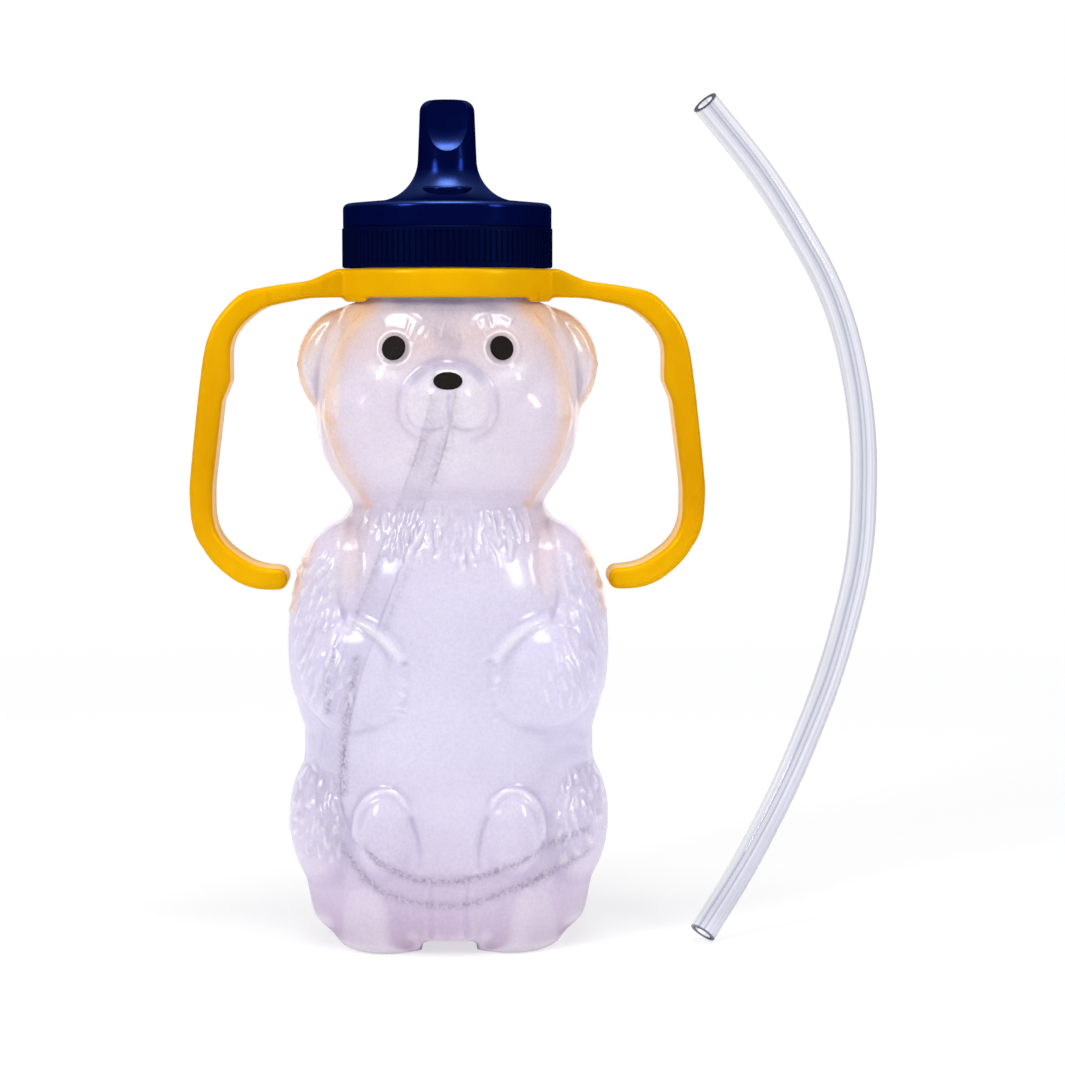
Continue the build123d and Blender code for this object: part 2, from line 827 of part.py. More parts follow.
def printed_spots():
    """The two eyes and the nose."""
    eye = spot_solid(eye_seat(), eye_radius, eye_radius)
    nose = spot_solid(nose_seat(), nose_half_width, nose_half_height)
    return {"eye_right": eye, "eye_left": mirror(eye, about=Plane.YZ), "nose": nose}


def build():
    """Every sub-part under its name."""
    pieces = {
        "bear_bottle": bear_bottle(),
        "handle_collar": handle_collar(),
        "cap_body": cap_body(),
        "cap_liner": cap_liner(),
        "drinking_spout": drinking_spout(),
        "flip_cover": flip_cover(),
        "drinking_tube": drinking_tube(),
        "spare_tube": spare_tube(),
    }
    pieces.update(printed_spots())
    return pieces


os.makedirs("parts", exist_ok=True)
for name, piece in build().items():
    export_step(piece, f"parts/{name}.step")
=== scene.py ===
import math

import bpy
import bmesh
import numpy as np
from mathutils import Matrix, Vector


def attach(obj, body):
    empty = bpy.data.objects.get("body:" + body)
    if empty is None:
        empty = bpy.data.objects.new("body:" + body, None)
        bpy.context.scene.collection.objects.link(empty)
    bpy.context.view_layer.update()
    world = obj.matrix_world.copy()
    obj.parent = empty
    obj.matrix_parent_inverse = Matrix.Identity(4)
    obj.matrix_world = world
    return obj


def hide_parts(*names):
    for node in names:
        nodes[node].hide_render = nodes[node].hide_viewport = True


# A honey bear bottle with loop handles, its flip-cover cap and two clear tubes.
# Sizes below are in millimetres and are turned into metres where a mesh is made.
MM = 0.001
# Sides and rings of the primitives that the pieces start from
BALL_SIDES = 48
BALL_RINGS = 28
DRUM_SIDES = 96
FORM_SIDES = 72

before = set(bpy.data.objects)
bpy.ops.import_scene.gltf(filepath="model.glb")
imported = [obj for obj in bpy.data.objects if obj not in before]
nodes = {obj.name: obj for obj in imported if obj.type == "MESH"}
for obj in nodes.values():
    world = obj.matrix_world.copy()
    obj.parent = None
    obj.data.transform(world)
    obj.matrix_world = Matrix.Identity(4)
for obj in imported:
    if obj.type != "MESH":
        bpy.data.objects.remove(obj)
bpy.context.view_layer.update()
bpy.ops.object.select_all(action="DESELECT")


# Small helpers


def metres(*values):
    """Millimetre values as metres."""
    return tuple(value * MM for value in values)


def choose(piece):
    """Makes one piece the only selected and the active one."""
    bpy.ops.object.select_all(action="DESELECT")
    piece.select_set(True)
    bpy.context.view_layer.objects.active = piece


def settle(piece):
    """Puts a piece's place, turn and size into its mesh."""
    choose(piece)
    bpy.ops.object.transform_apply(location=True, rotation=True, scale=True)
    return piece


def named(name, size=(1, 1, 1)):
    """Names the primitive that was just added, stretches it to its size and settles it."""
    piece = bpy.context.active_object
    piece.name = name
    piece.data.name = name
    piece.scale = size
    return settle(piece)


def ball(name, at, half):
    """A stretched ball: its centre and three half sizes in millimetres."""
    bpy.ops.mesh.primitive_uv_sphere_add(
        segments=BALL_SIDES, ring_count=BALL_RINGS, radius=MM, location=metres(*at)
    )
    return named(name, half)


def drum(name, at, radius, height):
    """An upright cylinder that stands on its place."""
    x, y, z = at
    bpy.ops.mesh.primitive_cylinder_add(
        vertices=DRUM_SIDES, radius=radius * MM, depth=height * MM,
        location=metres(x, y, z + height / 2),
    )
    return named(name)


def joined(pieces, name):
    """Joins pieces into one object with this name."""
    bpy.ops.object.select_all(action="DESELECT")
    for piece in pieces:
        piece.select_set(True)
    bpy.context.view_layer.objects.active = pieces[0]
    bpy.ops.object.join()
    whole = bpy.context.active_object
    whole.name = name
    whole.data.name = name
    return whole


def with_modifier(piece, kind, **settings):
    """Adds a modifier, sets it and applies it."""
    choose(piece)
    modifier = piece.modifiers.new(kind.title(), kind)
    for key, value in settings.items():
        setattr(modifier, key, value)
    bpy.ops.object.modifier_apply(modifier=modifier.name)
    return piece


def cut_away(piece, cutter):
    """Cuts one closed form out of another and removes the cutter."""
    with_modifier(piece, "BOOLEAN", operation="DIFFERENCE", object=cutter, solver="EXACT")
    bpy.data.objects.remove(cutter)


def smooth_shaded(piece, angle):
    """Shades a piece smooth, apart from its sharp edges."""
    choose(piece)
    bpy.ops.object.shade_smooth_by_angle(angle=math.radians(angle))
    return piece


def points_of(piece):
    """A piece's vertex places in millimetres, as an array."""
    places = np.empty(len(piece.data.vertices) * 3)
    piece.data.vertices.foreach_get("co", places)
    return places.reshape(-1, 3) / MM


def normals_of(piece):
    """A piece's vertex normals, as an array."""
    normals = np.empty(len(piece.data.vertices) * 3)
    piece.data.vertices.foreach_get("normal", normals)
    return normals.reshape(-1, 3)


def put_points(piece, places):
    """Gives a piece new vertex places, in millimetres."""
    piece.data.vertices.foreach_set("co", (places * MM).ravel())
    piece.data.update()


def give_tone(piece, name, values):
    """Keeps one number for each vertex, for the materials."""
    attribute = piece.data.attributes.new(name, "FLOAT", "POINT")
    attribute.data.foreach_set("value", np.asarray(values, np.float32))


def edit_all(piece):
    """Goes into edit mode with the whole piece selected."""
    choose(piece)
    bpy.ops.object.mode_set(mode="EDIT")
    bpy.ops.mesh.select_all(action="SELECT")


def edit_parts(piece, kind, wanted):
    """Goes into edit mode with the wanted faces or edges selected."""
    choose(piece)
    bpy.ops.object.mode_set(mode="EDIT")
    bpy.ops.mesh.select_mode(type=kind)
    bpy.ops.mesh.select_all(action="DESELECT")
    mesh = bmesh.from_edit_mesh(piece.data)
    for part in mesh.faces if kind == "FACE" else mesh.edges:
        part.select = wanted(part)
    bmesh.update_edit_mesh(piece.data)


def leave_edit():
    """Goes back to object mode."""
    bpy.ops.object.mode_set(mode="OBJECT")


def faces_outward(piece):
    """Turns every face of the piece in edit mode outwards and goes back to object mode."""
    bpy.ops.mesh.select_all(action="SELECT")
    bpy.ops.mesh.normals_make_consistent(inside=False)
    leave_edit()
    return piece


def neighbour_mean(piece, values):
    """For each vertex, the mean of its neighbours' values."""
    edges = np.empty(len(piece.data.edges) * 2, np.int64)
    piece.data.edges.foreach_get("vertices", edges)
    here, there = edges, edges.reshape(-1, 2)[:, ::-1].ravel()
    count = np.maximum(np.bincount(here, minlength=len(values)), 1)
    columns = [np.bincount(here, column[there], len(values)) / count for column in values.T]
    return np.stack(columns, axis=1)


def smooth_step(values):
    """Eases values from 0 to 1."""
    eased = np.clip(values, 0, 1)
    return eased * eased * (3 - 2 * eased)


def bell(values):
    """A soft peak: 1 where the values are 0, fading out on both sides."""
    return np.exp(-(values**2))


def unit(vectors):
    """Vectors with their lengths brought to 1."""
    return vectors / np.linalg.norm(vectors, axis=-1, keepdims=True)


# The bear's form

WALL = 1.2
MOUTH_LEVEL = 141.4
# Height, half width and half depth of the trunk and of the head, and their numbers of steps
TRUNK_ROWS = (
    (-3.0, 17.0, 14.4), (0.0, 22.2, 18.8), (1.9, 25.8, 21.8), (7.9, 28.5, 23.8),
    (17.7, 29.4, 24.9), (29.1, 29.4, 25.1), (39.7, 29.25, 24.2), (51.2, 29.0, 24.2),
    (63.6, 28.2, 23.7), (74.2, 26.5, 22.2), (82.1, 22.9, 20.0), (88.3, 18.8, 17.6),
)
TRUNK_STEPS = 40
HEAD_ROWS = (
    (88.3, 18.8, 17.6), (92.3, 21.8, 20.2), (96.3, 24.3, 22.6), (101.1, 25.8, 24.0),
    (107.1, 26.3, 24.4), (113.6, 26.0, 24.0), (119.2, 25.0, 22.9), (123.6, 23.3, 21.6),
    (126.8, 21.3, 20.0), (128.4, 19.6, 19.15),
)
HEAD_STEPS = 24
# Centre and half sizes of the rounded masses: those in the middle, and those on both sides
MIDDLE_MASSES = {
    "muzzle": ((0, -20.2, 110.3), (9.8, 7.7, 7.6)),
    "snout": ((0.1, -21.6, 110.0), (8.0, 7.3, 6.1)),
    "brow_mass": ((0, -10.5, 119.5), (17.5, 10.6, 8.0)),
}
PAIRED_MASSES = {
    "ear": ((18.2, 0.7, 116.0), (12.2, 4.8, 12.2)),
    "cheek": ((12.2, -8.6, 106.4), (12.4, 12.8, 11.6)),
    "arm": ((21.9, -2.6, 60.0), (10.2, 14.6, 24.0)),
    "shoulder": ((20.2, -4.6, 74.5), (8.6, 12.4, 10.4)),
    "paw": ((18.5, -15.4, 54.6), (10.6, 8.8, 11.0)),
    "haunch": ((20.4, 0, 23.6), (12.2, 19.0, 17.0)),
    "leg": ((12.3, -6.0, 10.0), (11.8, 16.6, 22.0)),
    "sole": ((12.2, -20.9, 25.0), (6.3, 5.6, 8.8)),
}
EAR_OUT, _, EAR_HEIGHT = PAIRED_MASSES["ear"][0]
# Foot, radius and height of the neck and its bead
NECK_DRUMS = {"neck": (124.0, 17.4, 20.0), "bead": (131.2, 18.7, 2.2)}
# Foot, radius, half thickness, pitch and number of turns of the thread
THREAD = (137.4, 17.3, 1.3, 4.23, 1.05)
THREAD_SIDES = 12
THREAD_STEPS = 72
# Radius and depth of the ground that cuts the underside flat
GROUND = (60, 30)
# Half width, half depth and height of the hollow that is pushed up in the underside
PUSH_UP = (17.0, 13.0, 2.0)
# How far below the ground that hollow's cutter starts
CUT_PAST = 1.0
# Place, size and rounding of the notch between the feet
NOTCH = ((0, -24.0, 1.0), (10.8, 48.0, 4.0), 1.3)
# Grain of the grown skin, and how often it is smoothed
SKIN_VOXEL = 0.85
SKIN_SMOOTHING = 16


def row_at(rows, height):
    """Half width and half depth of a form at a height, on a smooth line through its rows."""
    rows = np.array(rows)
    slopes = np.gradient(rows[:, 1:], rows[:, 0], axis=0)
    k = int(np.clip(np.searchsorted(rows[:, 0], height) - 1, 0, len(rows) - 2))
    step = rows[k + 1, 0] - rows[k, 0]
    t = (height - rows[k, 0]) / step
    return (
        (2 * t**3 - 3 * t**2 + 1) * rows[k, 1:] + (t**3 - 2 * t**2 + t) * step * slopes[k]
        + (3 * t**2 - 2 * t**3) * rows[k + 1, 1:] + (t**3 - t**2) * step * slopes[k + 1]
    )


def stacked_form(name, rows, steps):
    """A form drawn up from a disc: each step is extruded, then widened or narrowed."""
    heights = np.linspace(rows[0][0], rows[-1][0], steps + 1)
    wide, deep = row_at(rows, heights[0])
    bpy.ops.mesh.primitive_circle_add(
        vertices=FORM_SIDES, radius=MM, fill_type="NGON", location=metres(0, 0, heights[0])
    )
    piece = named(name, (wide, deep, 1))
    edit_all(piece)
    for low, high in zip(heights, heights[1:]):
        bpy.ops.mesh.extrude_region_move(
            TRANSFORM_OT_translate={"value": metres(0, 0, high - low)}
        )
        new_wide, new_deep = row_at(rows, high)
        bpy.ops.transform.resize(
            value=(new_wide / wide, new_deep / deep, 1), center_override=metres(0, 0, high)
        )
        wide, deep = new_wide, new_deep
    return faces_outward(piece)


def pair(name, at, half):
    """The same ball on the bear's left and right."""
    x, y, z = at
    return [ball(name + "_right", (x, y, z), half), ball(name + "_left", (-x, y, z), half)]


def thread_bar():
    """A helical bar round the neck."""
    foot, radius, thick, pitch, turns = THREAD
    bpy.ops.mesh.primitive_circle_add(
        vertices=THREAD_SIDES, radius=thick * MM, fill_type="NGON",
        location=metres(radius, 0, foot), rotation=(math.radians(90), 0, 0),
    )
    piece = named("thread")
    edit_all(piece)
    for _ in range(int(THREAD_STEPS * turns)):
        bpy.ops.mesh.extrude_region_move(
            TRANSFORM_OT_translate={"value": metres(0, 0, pitch / THREAD_STEPS)}
        )
        bpy.ops.transform.rotate(
            value=-math.radians(360 / THREAD_STEPS), orient_axis="Z", center_override=(0, 0, 0)
        )
    return faces_outward(piece)


def grown(piece):
    """Grows one skin of even faces over a piece."""
    piece.data.remesh_voxel_size = SKIN_VOXEL * MM
    choose(piece)
    bpy.ops.object.voxel_remesh()
    return piece


def bear_blank():
    """The bear's main masses grown into one skin, with its neck, before the fine relief."""
    masses = [
        stacked_form("trunk", TRUNK_ROWS, TRUNK_STEPS),
        stacked_form("head", HEAD_ROWS, HEAD_STEPS),
    ]
    masses += [ball(name, at, half) for name, (at, half) in MIDDLE_MASSES.items()]
    for name, (at, half) in PAIRED_MASSES.items():
        masses += pair(name, at, half)
    for name, (foot, radius, height) in NECK_DRUMS.items():
        masses.append(drum(name, (0, 0, foot), radius, height))
    blank = grown(joined([*masses, thread_bar()], "bear_skin"))
    radius, depth = GROUND
    cut_away(blank, drum("ground", (0, 0, -depth), radius, depth))
    wide, deep, height = PUSH_UP
    hollow = drum("push_up", (0, 0, -CUT_PAST), 1, height + CUT_PAST)
    hollow.data.transform(Matrix.Diagonal((wide, deep, 1, 1)))
    at, size, rounding = NOTCH
    bpy.ops.mesh.primitive_cube_add(size=MM, location=metres(*at))
    notch = named("notch", size)
    with_modifier(notch, "BEVEL", width=rounding * MM, segments=4, limit_method="ANGLE")
    cut_away(blank, hollow)
    cut_away(blank, notch)
    grown(blank)
    return with_modifier(blank, "SMOOTH", factor=0.5, iterations=SKIN_SMOOTHING)


# Relief in the skin


def distance_to_line(flat, line):
    """Distance of points seen from the front to a line of corners, and the share along it."""
    best = np.full(len(flat), 1e9)
    along = np.zeros(len(flat))
    line = np.array(line, float)
    for k, (start, end) in enumerate(zip(line, line[1:])):
        run = end - start
        t = np.clip((flat - start) @ run / (run @ run), 0, 1)
        gap = np.linalg.norm(flat - (start + t[:, None] * run), axis=1)
        nearer = gap < best
        best[nearer] = gap[nearer]
        along[nearer] = (k + t[nearer]) / (len(line) - 1)
    return best, along


def inside_outline(flat, outline):
    """Which points seen from the front lie inside a closed outline."""
    inside = np.zeros(len(flat), bool)
    corners = list(outline) + [outline[0]]
    for (x0, z0), (x1, z1) in zip(corners, corners[1:]):
        if z0 == z1:
            continue
        crosses = (flat[:, 1] > z0) != (flat[:, 1] > z1)
        reach = x0 + (flat[:, 1] - z0) / (z1 - z0) * (x1 - x0)
        inside ^= crosses & (flat[:, 0] < reach)
    return inside


def rounded_line(line, rounds=3):
    """The line with its corners cut off a few times."""
    line = np.array(line, float)
    for _ in range(rounds):
        first, second = line[:-1], line[1:]
        cut = np.empty((2 * len(first), 2))
        cut[0::2] = 0.75 * first + 0.25 * second
        cut[1::2] = 0.25 * first + 0.75 * second
        line = np.vstack([line[:1], cut, line[-1:]])
    return line


def flipped(line):
    """The line on the bear's other side."""
    return [(-x, z) for x, z in line]


def tapered(along, ends=0.18):
    """Fades a ridge out at both its ends."""
    return smooth_step(along / ends) * smooth_step((1 - along) / ends)


# Lines seen from the front, on the bear's left side (+X)
FACE_EDGE = (
    (16.0, 127.2), (18.8, 123.4), (21.4, 118.9), (23.1, 113.3), (23.7, 108.4), (23.3, 104.0),
    (22.2, 99.5), (20.3, 95.5), (18.0, 92.2), (16.2, 88.6),
)
EAR_ROOT = ((17.0, 127.6), (19.6, 123.7), (21.9, 120.0), (23.8, 114.8), (25.0, 107.6))
BROW = ((4.6, 124.0), (6.6, 125.6), (8.9, 126.5), (11.2, 126.2), (13.0, 124.9))
MUZZLE_EDGE = (
    (0.0, 118.2), (4.9, 116.9), (8.1, 113.9), (9.9, 109.8), (9.5, 105.6), (7.2, 102.9),
    (3.2, 102.2),
)
LIP = (
    (0.0, 105.2), (1.2, 104.4), (3.3, 103.8), (5.9, 104.2), (7.7, 105.6), (8.4, 108.4),
    (7.7, 111.9), (5.6, 114.7), (3.4, 116.0),
)
NOSE_LINE = ((0.2, 111.6), (0.1, 108.5), (0.2, 105.0))
BRIDGE = ((-6.9, 112.2), (-5.4, 114.8), (-1.0, 117.0), (5.0, 115.6), (7.2, 112.6))
UNDER_EYE = ((15.9, 116.8), (12.4, 114.8), (8.6, 113.9))
HAND_SHINE = ((21.5, 65.6), (15.4, 64.9), (10.2, 60.6))
ARM_FOLD = ((20.5, 92.0), (19.0, 80.0), (19.4, 66.0))
SHOULDER_EDGE = ((28.0, 80.5), (30.8, 74.5), (32.0, 68.0))
TEMPLE = ((16.0, 127.5), (24.0, 125.5), (29.0, 120.5))
HEAD_TOP = ((-11.0, 128.6), (-5.0, 128.2), (4.4, 128.4), (12.0, 126.4))
CROWN = ((-6.0, 126.0), (-1.0, 122.5), (3.0, 119.5))
# Width, strength and run of each painted streak that stands in for the tube inside seen through the
# wall
PAINTED_STREAKS = (
    (1.2, 0.6, ((-2.9, 112.3), (-3.6, 105.4), (-5.2, 99.9), (-7.4, 96.5))),
    (1.2, 0.7, ((1.3, 111.5), (1.5, 105.8), (-1.4, 99.5), (-2.9, 93.0))),
    (0.9, 0.45, ((-13.0, 79.5), (-16.0, 73.0), (-18.7, 66.8))),
    (0.9, 0.5, ((-7.6, 77.5), (-10.5, 70.0), (-13.5, 63.0))),
    (0.8, 0.8, ((-21.5, 62.8), (-23.8, 55.0), (-23.4, 48.2))),
    (0.9, 1.0, ((-17.6, 61.0), (-20.1, 47.7), (-20.9, 39.0), (-20.9, 31.0))),
    (
        0.8, 1.0,
        (
            (-17.6, 23.8), (-13.7, 19.4), (-9.1, 16.6), (-4.4, 15.6), (2.7, 15.6), (9.6, 17.5),
            (16.8, 20.8), (23.9, 23.4), (29.0, 24.0),
        ),
    ),
    (
        0.8, 0.9,
        (
            (-22.8, 24.5), (-18.4, 17.0), (-13.7, 13.2), (-9.1, 11.8), (-4.4, 10.8), (2.7, 10.8),
            (7.3, 11.8), (14.3, 14.2), (21.6, 16.4), (29.5, 20.2),
        ),
    ),
)
HAND_TOP = ((20.4, 66.7), (16.6, 65.9), (12.9, 63.9), (10.2, 61.2), (8.6, 58.6))
ARM_INNER = ((19.4, 87.5), (20.8, 80.0), (21.6, 74.0), (21.7, 68.6), (19.0, 65.4))
PAW_EDGE = (
    (9.4, 60.6), (8.0, 57.0), (8.0, 52.6), (9.7, 48.7), (13.0, 46.0), (17.8, 44.6),
    (23.4, 45.4), (28.0, 49.4),
)
SOLE_TOP = (
    (18.3, 22.6), (18.4, 26.0), (17.4, 29.6), (15.2, 32.2), (12.2, 33.2), (9.6, 32.2),
    (7.9, 29.4),
)
SOLE_INNER = ((7.6, 29.0), (6.3, 25.4), (5.6, 21.4), (5.9, 17.5))
LEG_LINE = ((3.7, 15.5), (3.4, 10.0), (3.6, 3.6))
ARM_PLATE = (
    (19.3, 90.0), (20.0, 84.0), (20.9, 79.4), (21.9, 74.0), (22.1, 69.6), (20.6, 66.6),
    (16.6, 65.9), (12.9, 63.9), (10.2, 61.2), (8.2, 57.5), (8.0, 52.6), (9.7, 48.7),
    (13.0, 46.0), (17.8, 44.6), (23.4, 45.4), (28.0, 49.4), (36.0, 52.0), (36.0, 90.0),
)
ARM_PLATE_RISE = 0.35
ARM_PLATE_EDGE = 2.2
# The sole's inner ring: its outline is the sole's, drawn in by shares and moved
SOLE_RING = [(x * 0.9 + 1.1, z * 0.96 + 1.0) for x, z in SOLE_TOP]
# Each line's height, negative for a groove, and its half width
RELIEF_LINES = (
    (FACE_EDGE, 0.6, 0.85), (EAR_ROOT, -0.35, 0.8), (BROW, 0.3, 0.8), (MUZZLE_EDGE, -0.4, 0.9),
    (LIP, -0.3, 0.6), (HAND_TOP, 0.9, 1.2), (ARM_INNER, -0.3, 0.8), (PAW_EDGE, -0.2, 0.9),
    (SOLE_TOP, 0.75, 0.65), (SOLE_INNER, -0.35, 0.8), (LEG_LINE, -0.22, 0.6),
    (SOLE_RING, -0.35, 0.5),
)
NOSE_GROOVE = (0.35, 0.5)
# Place, reach and height of the cheek's swelling and the eye's hollow
SWELLINGS = (((13.6, 113.6), 3.4, 0.9), ((10.4, 119.9), 4.6, -0.7))
# The raised ring round each eye: centre, radius, half width and height
EYE_AT = (10.4, 119.7)
EYE_RING = (3.3, 0.5, 0.35)
# The dish in each ear: centre from the front, radius, soft edge, depth and where it starts
DISH_AT = (18.6, 116.0)
DISH_RADIUS = 10.8
DISH_EDGE = 1.8
DISH_DEPTH = 0.5
DISH_START = 19.5
# The mould's seam: its place in depth, half width, height and the levels that it runs between
SEAM_DEPTH = 1.2
SEAM_WIDTH = 0.45
SEAM_HEIGHT = 0.25
SEAM_LEVELS = (3, 127)
# Where finer faces are needed: bounds of the distance from the middle and of the height, and the
# depth that the faces lie in front of
FINE_PLACES = {
    "face": ((-1, 17.5), (100, 200), -8),
    "face_edge": ((15, 25.5), (88, 127), -2),
    "chin": ((-1, 17), (75, 91), 0),
    "arm": ((18, 34), (50, 92), -1),
    "hand": ((6, 30), (43, 69), -8),
    "haunch": ((18, 34), (19, 39), -1),
    "sole": ((4, 20.5), (14, 36), -8),
    "leg": ((-1, 6), (-1, 17), -8),
}
# Along the seam: the distance from the middle past which, and the depth up to which, they are
SEAM_BAND = (14, 2.6)
# The depth behind which no other faces are made finer
FRONT_DEPTH = 2
# The fur under the chin: height, number of locks, half width of the row and length of a lock
CHIN_ROWS = ((88.0, 34, 15.5, 4.2), (84.6, 36, 15.5, 4.4), (81.4, 28, 12.0, 3.6))
CHIN_SAG = 0.012
ARM_FUR_ROWS = 10
HAUNCH_FUR_ROWS = 6
FOREHEAD_LOCKS = 16
# The fur's jitter: sideways, up, degrees of lean, and shares of length, width and height
FUR_JITTER = (0.4, 1.1, 9, 0.4, 0.3, 0.4)
# Heights at which the fur of the arms, hands, haunches and forehead starts
ARM_FUR_TOP = 80.5
HAND_FUR_TOP = 60.5
HAUNCH_FUR_TOP = 38.5
FOREHEAD_FUR_TOP = 125.6


def ridge(flat, line, height, width):
    """A soft ridge, or a groove where the height is negative, along a line."""
    gap, along = distance_to_line(flat, rounded_line(line))
    return height * bell(gap / width) * tapered(along)


def plate(flat, outline, height, edge):
    """A raised area with a soft edge."""
    gap, _ = distance_to_line(flat, list(outline) + [outline[0]])
    inside = inside_outline(flat, outline)
    return height * smooth_step(0.5 + np.where(inside, gap, -gap) / edge)


def spot(flat, at, reach, height):
    """A soft round swelling or hollow."""
    gap = np.linalg.norm(flat - np.array(at), axis=1)
    return height * bell(gap / reach)


def lock(flat, root, lean, length, width, height):
    """One lock of fur: a slightly bent ridge that fades out at its root and its tip."""
    direction = np.array((math.sin(lean), -math.cos(lean)))
    away = flat - np.array(root)
    t = away @ direction / length
    bend = 0.4 * width * np.sin(t * 3 + lean * 9)
    across = np.abs(away @ np.array((direction[1], -direction[0])) - bend)
    swell = np.sin(np.pi * np.clip(t, 0, 1) ** 1.3) ** 0.8
    half = width * (0.6 + 0.4 * np.clip(t, 0, 1))
    return height * swell * bell(across / half)


def fur_rows():
    """Root, lean, length, width and height of every lock, seen from the front."""
    rng = np.random.default_rng(11)
    locks = []

    def add(x, z, lean, length, width=0.42, height=0.36):
        """Adds one lock, a little out of line with its row."""
        across, up, turn, longer, wider, higher = rng.uniform(-1, 1, 6) * FUR_JITTER
        root = (x + across, z + up)
        size = (length * (1 + longer), width * (1 + wider), height * (1 + higher))
        locks.append((root, math.radians(lean + turn), *size))

    for top, count, reach, length in CHIN_ROWS:
        for k in range(count):
            x = -reach + 2 * reach * k / (count - 1)
            sag = 0 if top == CHIN_ROWS[0][0] else CHIN_SAG * x * x
            add(x, top + sag, 0.8 * x, length)
    for side, arm_height in ((-1, 0.36), (1, 0.26)):
        for row in range(ARM_FUR_ROWS):
            z = ARM_FUR_TOP - 2.9 * row
            inner = 22.4 - 0.62 * max(row - 3, 0)
            for k in range(8):
                x = inner + 1.1 * k
                add(side * x, z - 0.35 * k, side * (36 - 3.5 * row), 3.3, 0.42, arm_height)
        for k in range(7):
            add(side * (9.6 + 0.3 * k), HAND_FUR_TOP - 1.9 * k, -side * 74, 3.0, 0.38, 0.3)
        for row in range(HAUNCH_FUR_ROWS):
            z = HAUNCH_FUR_TOP - 2.7 * row
            for k in range(9):
                x = 31.8 - 1.25 * k
                if x > 19.0 + 3.6 * (row < 2):
                    add(side * x, z - 0.55 * k, side * (10 - 1.5 * k), 3.1, 0.5, 0.34)
    for k in range(FOREHEAD_LOCKS):
        x = -7.5 + k
        add(x, FOREHEAD_FUR_TOP - 0.9 * (k % 3), 3 * x, 3.4, 0.4, 0.2)
    return locks


def in_relief(face):
    """Whether a face of the blank lies where the relief is fine enough to need more faces."""
    centre = face.calc_center_median() / MM
    x, y, z = abs(centre.x), centre.y, centre.z
    out, depth = SEAM_BAND
    if y > 0 and SEAM_LEVELS[0] < z < SEAM_LEVELS[1] and x > out:
        return y < depth
    if y > FRONT_DEPTH:
        return False
    return any(
        near < x < far and low < z < high and y < front
        for (near, far), (low, high), front in FINE_PLACES.values()
    )


def side_relief(flat):
    """The relief of the face, the limbs' edges and the soles, seen from the front."""
    rise = np.zeros(len(flat))
    radius, width, height = EYE_RING
    for turn in (list, flipped):
        for line, line_height, line_width in RELIEF_LINES:
            rise += ridge(flat, turn(line), line_height, line_width)
        rise += plate(flat, turn(ARM_PLATE), ARM_PLATE_RISE, ARM_PLATE_EDGE)
        for at, reach, swelling in SWELLINGS:
            rise += spot(flat, turn([at])[0], reach, swelling)
        from_eye = np.linalg.norm(flat - np.array(turn([EYE_AT])[0]), axis=1)
        rise += height * bell((from_eye - radius) / width)
    return rise - ridge(flat, NOSE_LINE, *NOSE_GROOVE)


def ear_dish(places, normals):
    """How far the front of each ear is sunk."""
    sunk = np.zeros(len(places))
    for side in (-1, 1):
        out = places[:, 0] * side
        gap = np.hypot(out - DISH_AT[0], places[:, 2] - DISH_AT[1])
        ear = (out > DISH_START) & (places[:, 1] < 2) & (normals[:, 1] < -0.2)
        dish = DISH_DEPTH * smooth_step((DISH_RADIUS - gap) / DISH_EDGE)
        sunk += np.where(ear, dish * smooth_step((out - DISH_START) / 3), 0)
    return sunk


def painted_collar_glow_places(places):
    """Painted reflection: an orange glow that stands in for the yellow collar's light on the
    plastic, along thick rims near the handles.
    """
    flat = places[:, [0, 2]]
    painted_warm_glow = np.zeros(len(places))
    for turn in (list, flipped):
        gap, along = distance_to_line(flat, rounded_line(turn(FACE_EDGE)))
        painted_warm_glow += 0.75 * bell(gap / 1.5) * (1 - 0.3 * along)
        gap, along = distance_to_line(flat, turn(ARM_FOLD))
        painted_warm_glow += 0.32 * bell(gap / 3.2) * tapered(along, 0.4)
        for line, share, width in ((SHOULDER_EDGE, 0.8, 1.6), (TEMPLE, 0.7, 2.4)):
            gap, _ = distance_to_line(flat, turn(line))
            painted_warm_glow += share * bell(gap / width)
    from_ear = np.hypot(np.abs(places[:, 0]) - EAR_OUT, places[:, 2] - EAR_HEIGHT)
    rim = smooth_step((from_ear - 10.6) / 1.2) * (np.abs(places[:, 0]) > 20)
    return np.clip(painted_warm_glow + 0.9 * rim * smooth_step((places[:, 2] - 103) / 6), 0, 1)


def painted_cool_shade_places(places):
    """Painted blue-grey shade over the bridge of the nose and under the collar."""
    flat = places[:, [0, 2]]
    painted_cool_shade = np.zeros(len(places))
    for line, width, share in ((BRIDGE, 1.2, 1.0), (HEAD_TOP, 1.3, 1.0), (CROWN, 1.6, 0.45)):
        gap, along = distance_to_line(flat, rounded_line(line))
        painted_cool_shade += share * bell(gap / width) * tapered(along, 0.25)
    return np.clip(painted_cool_shade, 0, 1) * (places[:, 1] < 0)


def painted_highlight_places(places):
    """Painted highlights, where the plastic is whitest: the ears, the muzzle, under the eyes and
    over the hands.
    """
    flat = places[:, [0, 2]]
    out = np.abs(flat[:, 0])
    from_ear = np.hypot(out - EAR_OUT, flat[:, 1] - EAR_HEIGHT)
    pale = 0.9 * smooth_step((11.0 - from_ear) / 1.5) * smooth_step((out - 20.5) / 1.5)
    pale += 0.45 * smooth_step((9.0 - np.hypot(flat[:, 0], flat[:, 1] - 109.0)) / 3)
    for turn in (list, flipped):
        for line in (UNDER_EYE, HAND_SHINE):
            gap, along = distance_to_line(flat, rounded_line(turn(line)))
            pale += 0.9 * bell(gap / 1.0) * tapered(along, 0.35)
    return np.clip(pale, 0, 1) * (places[:, 1] < 1)


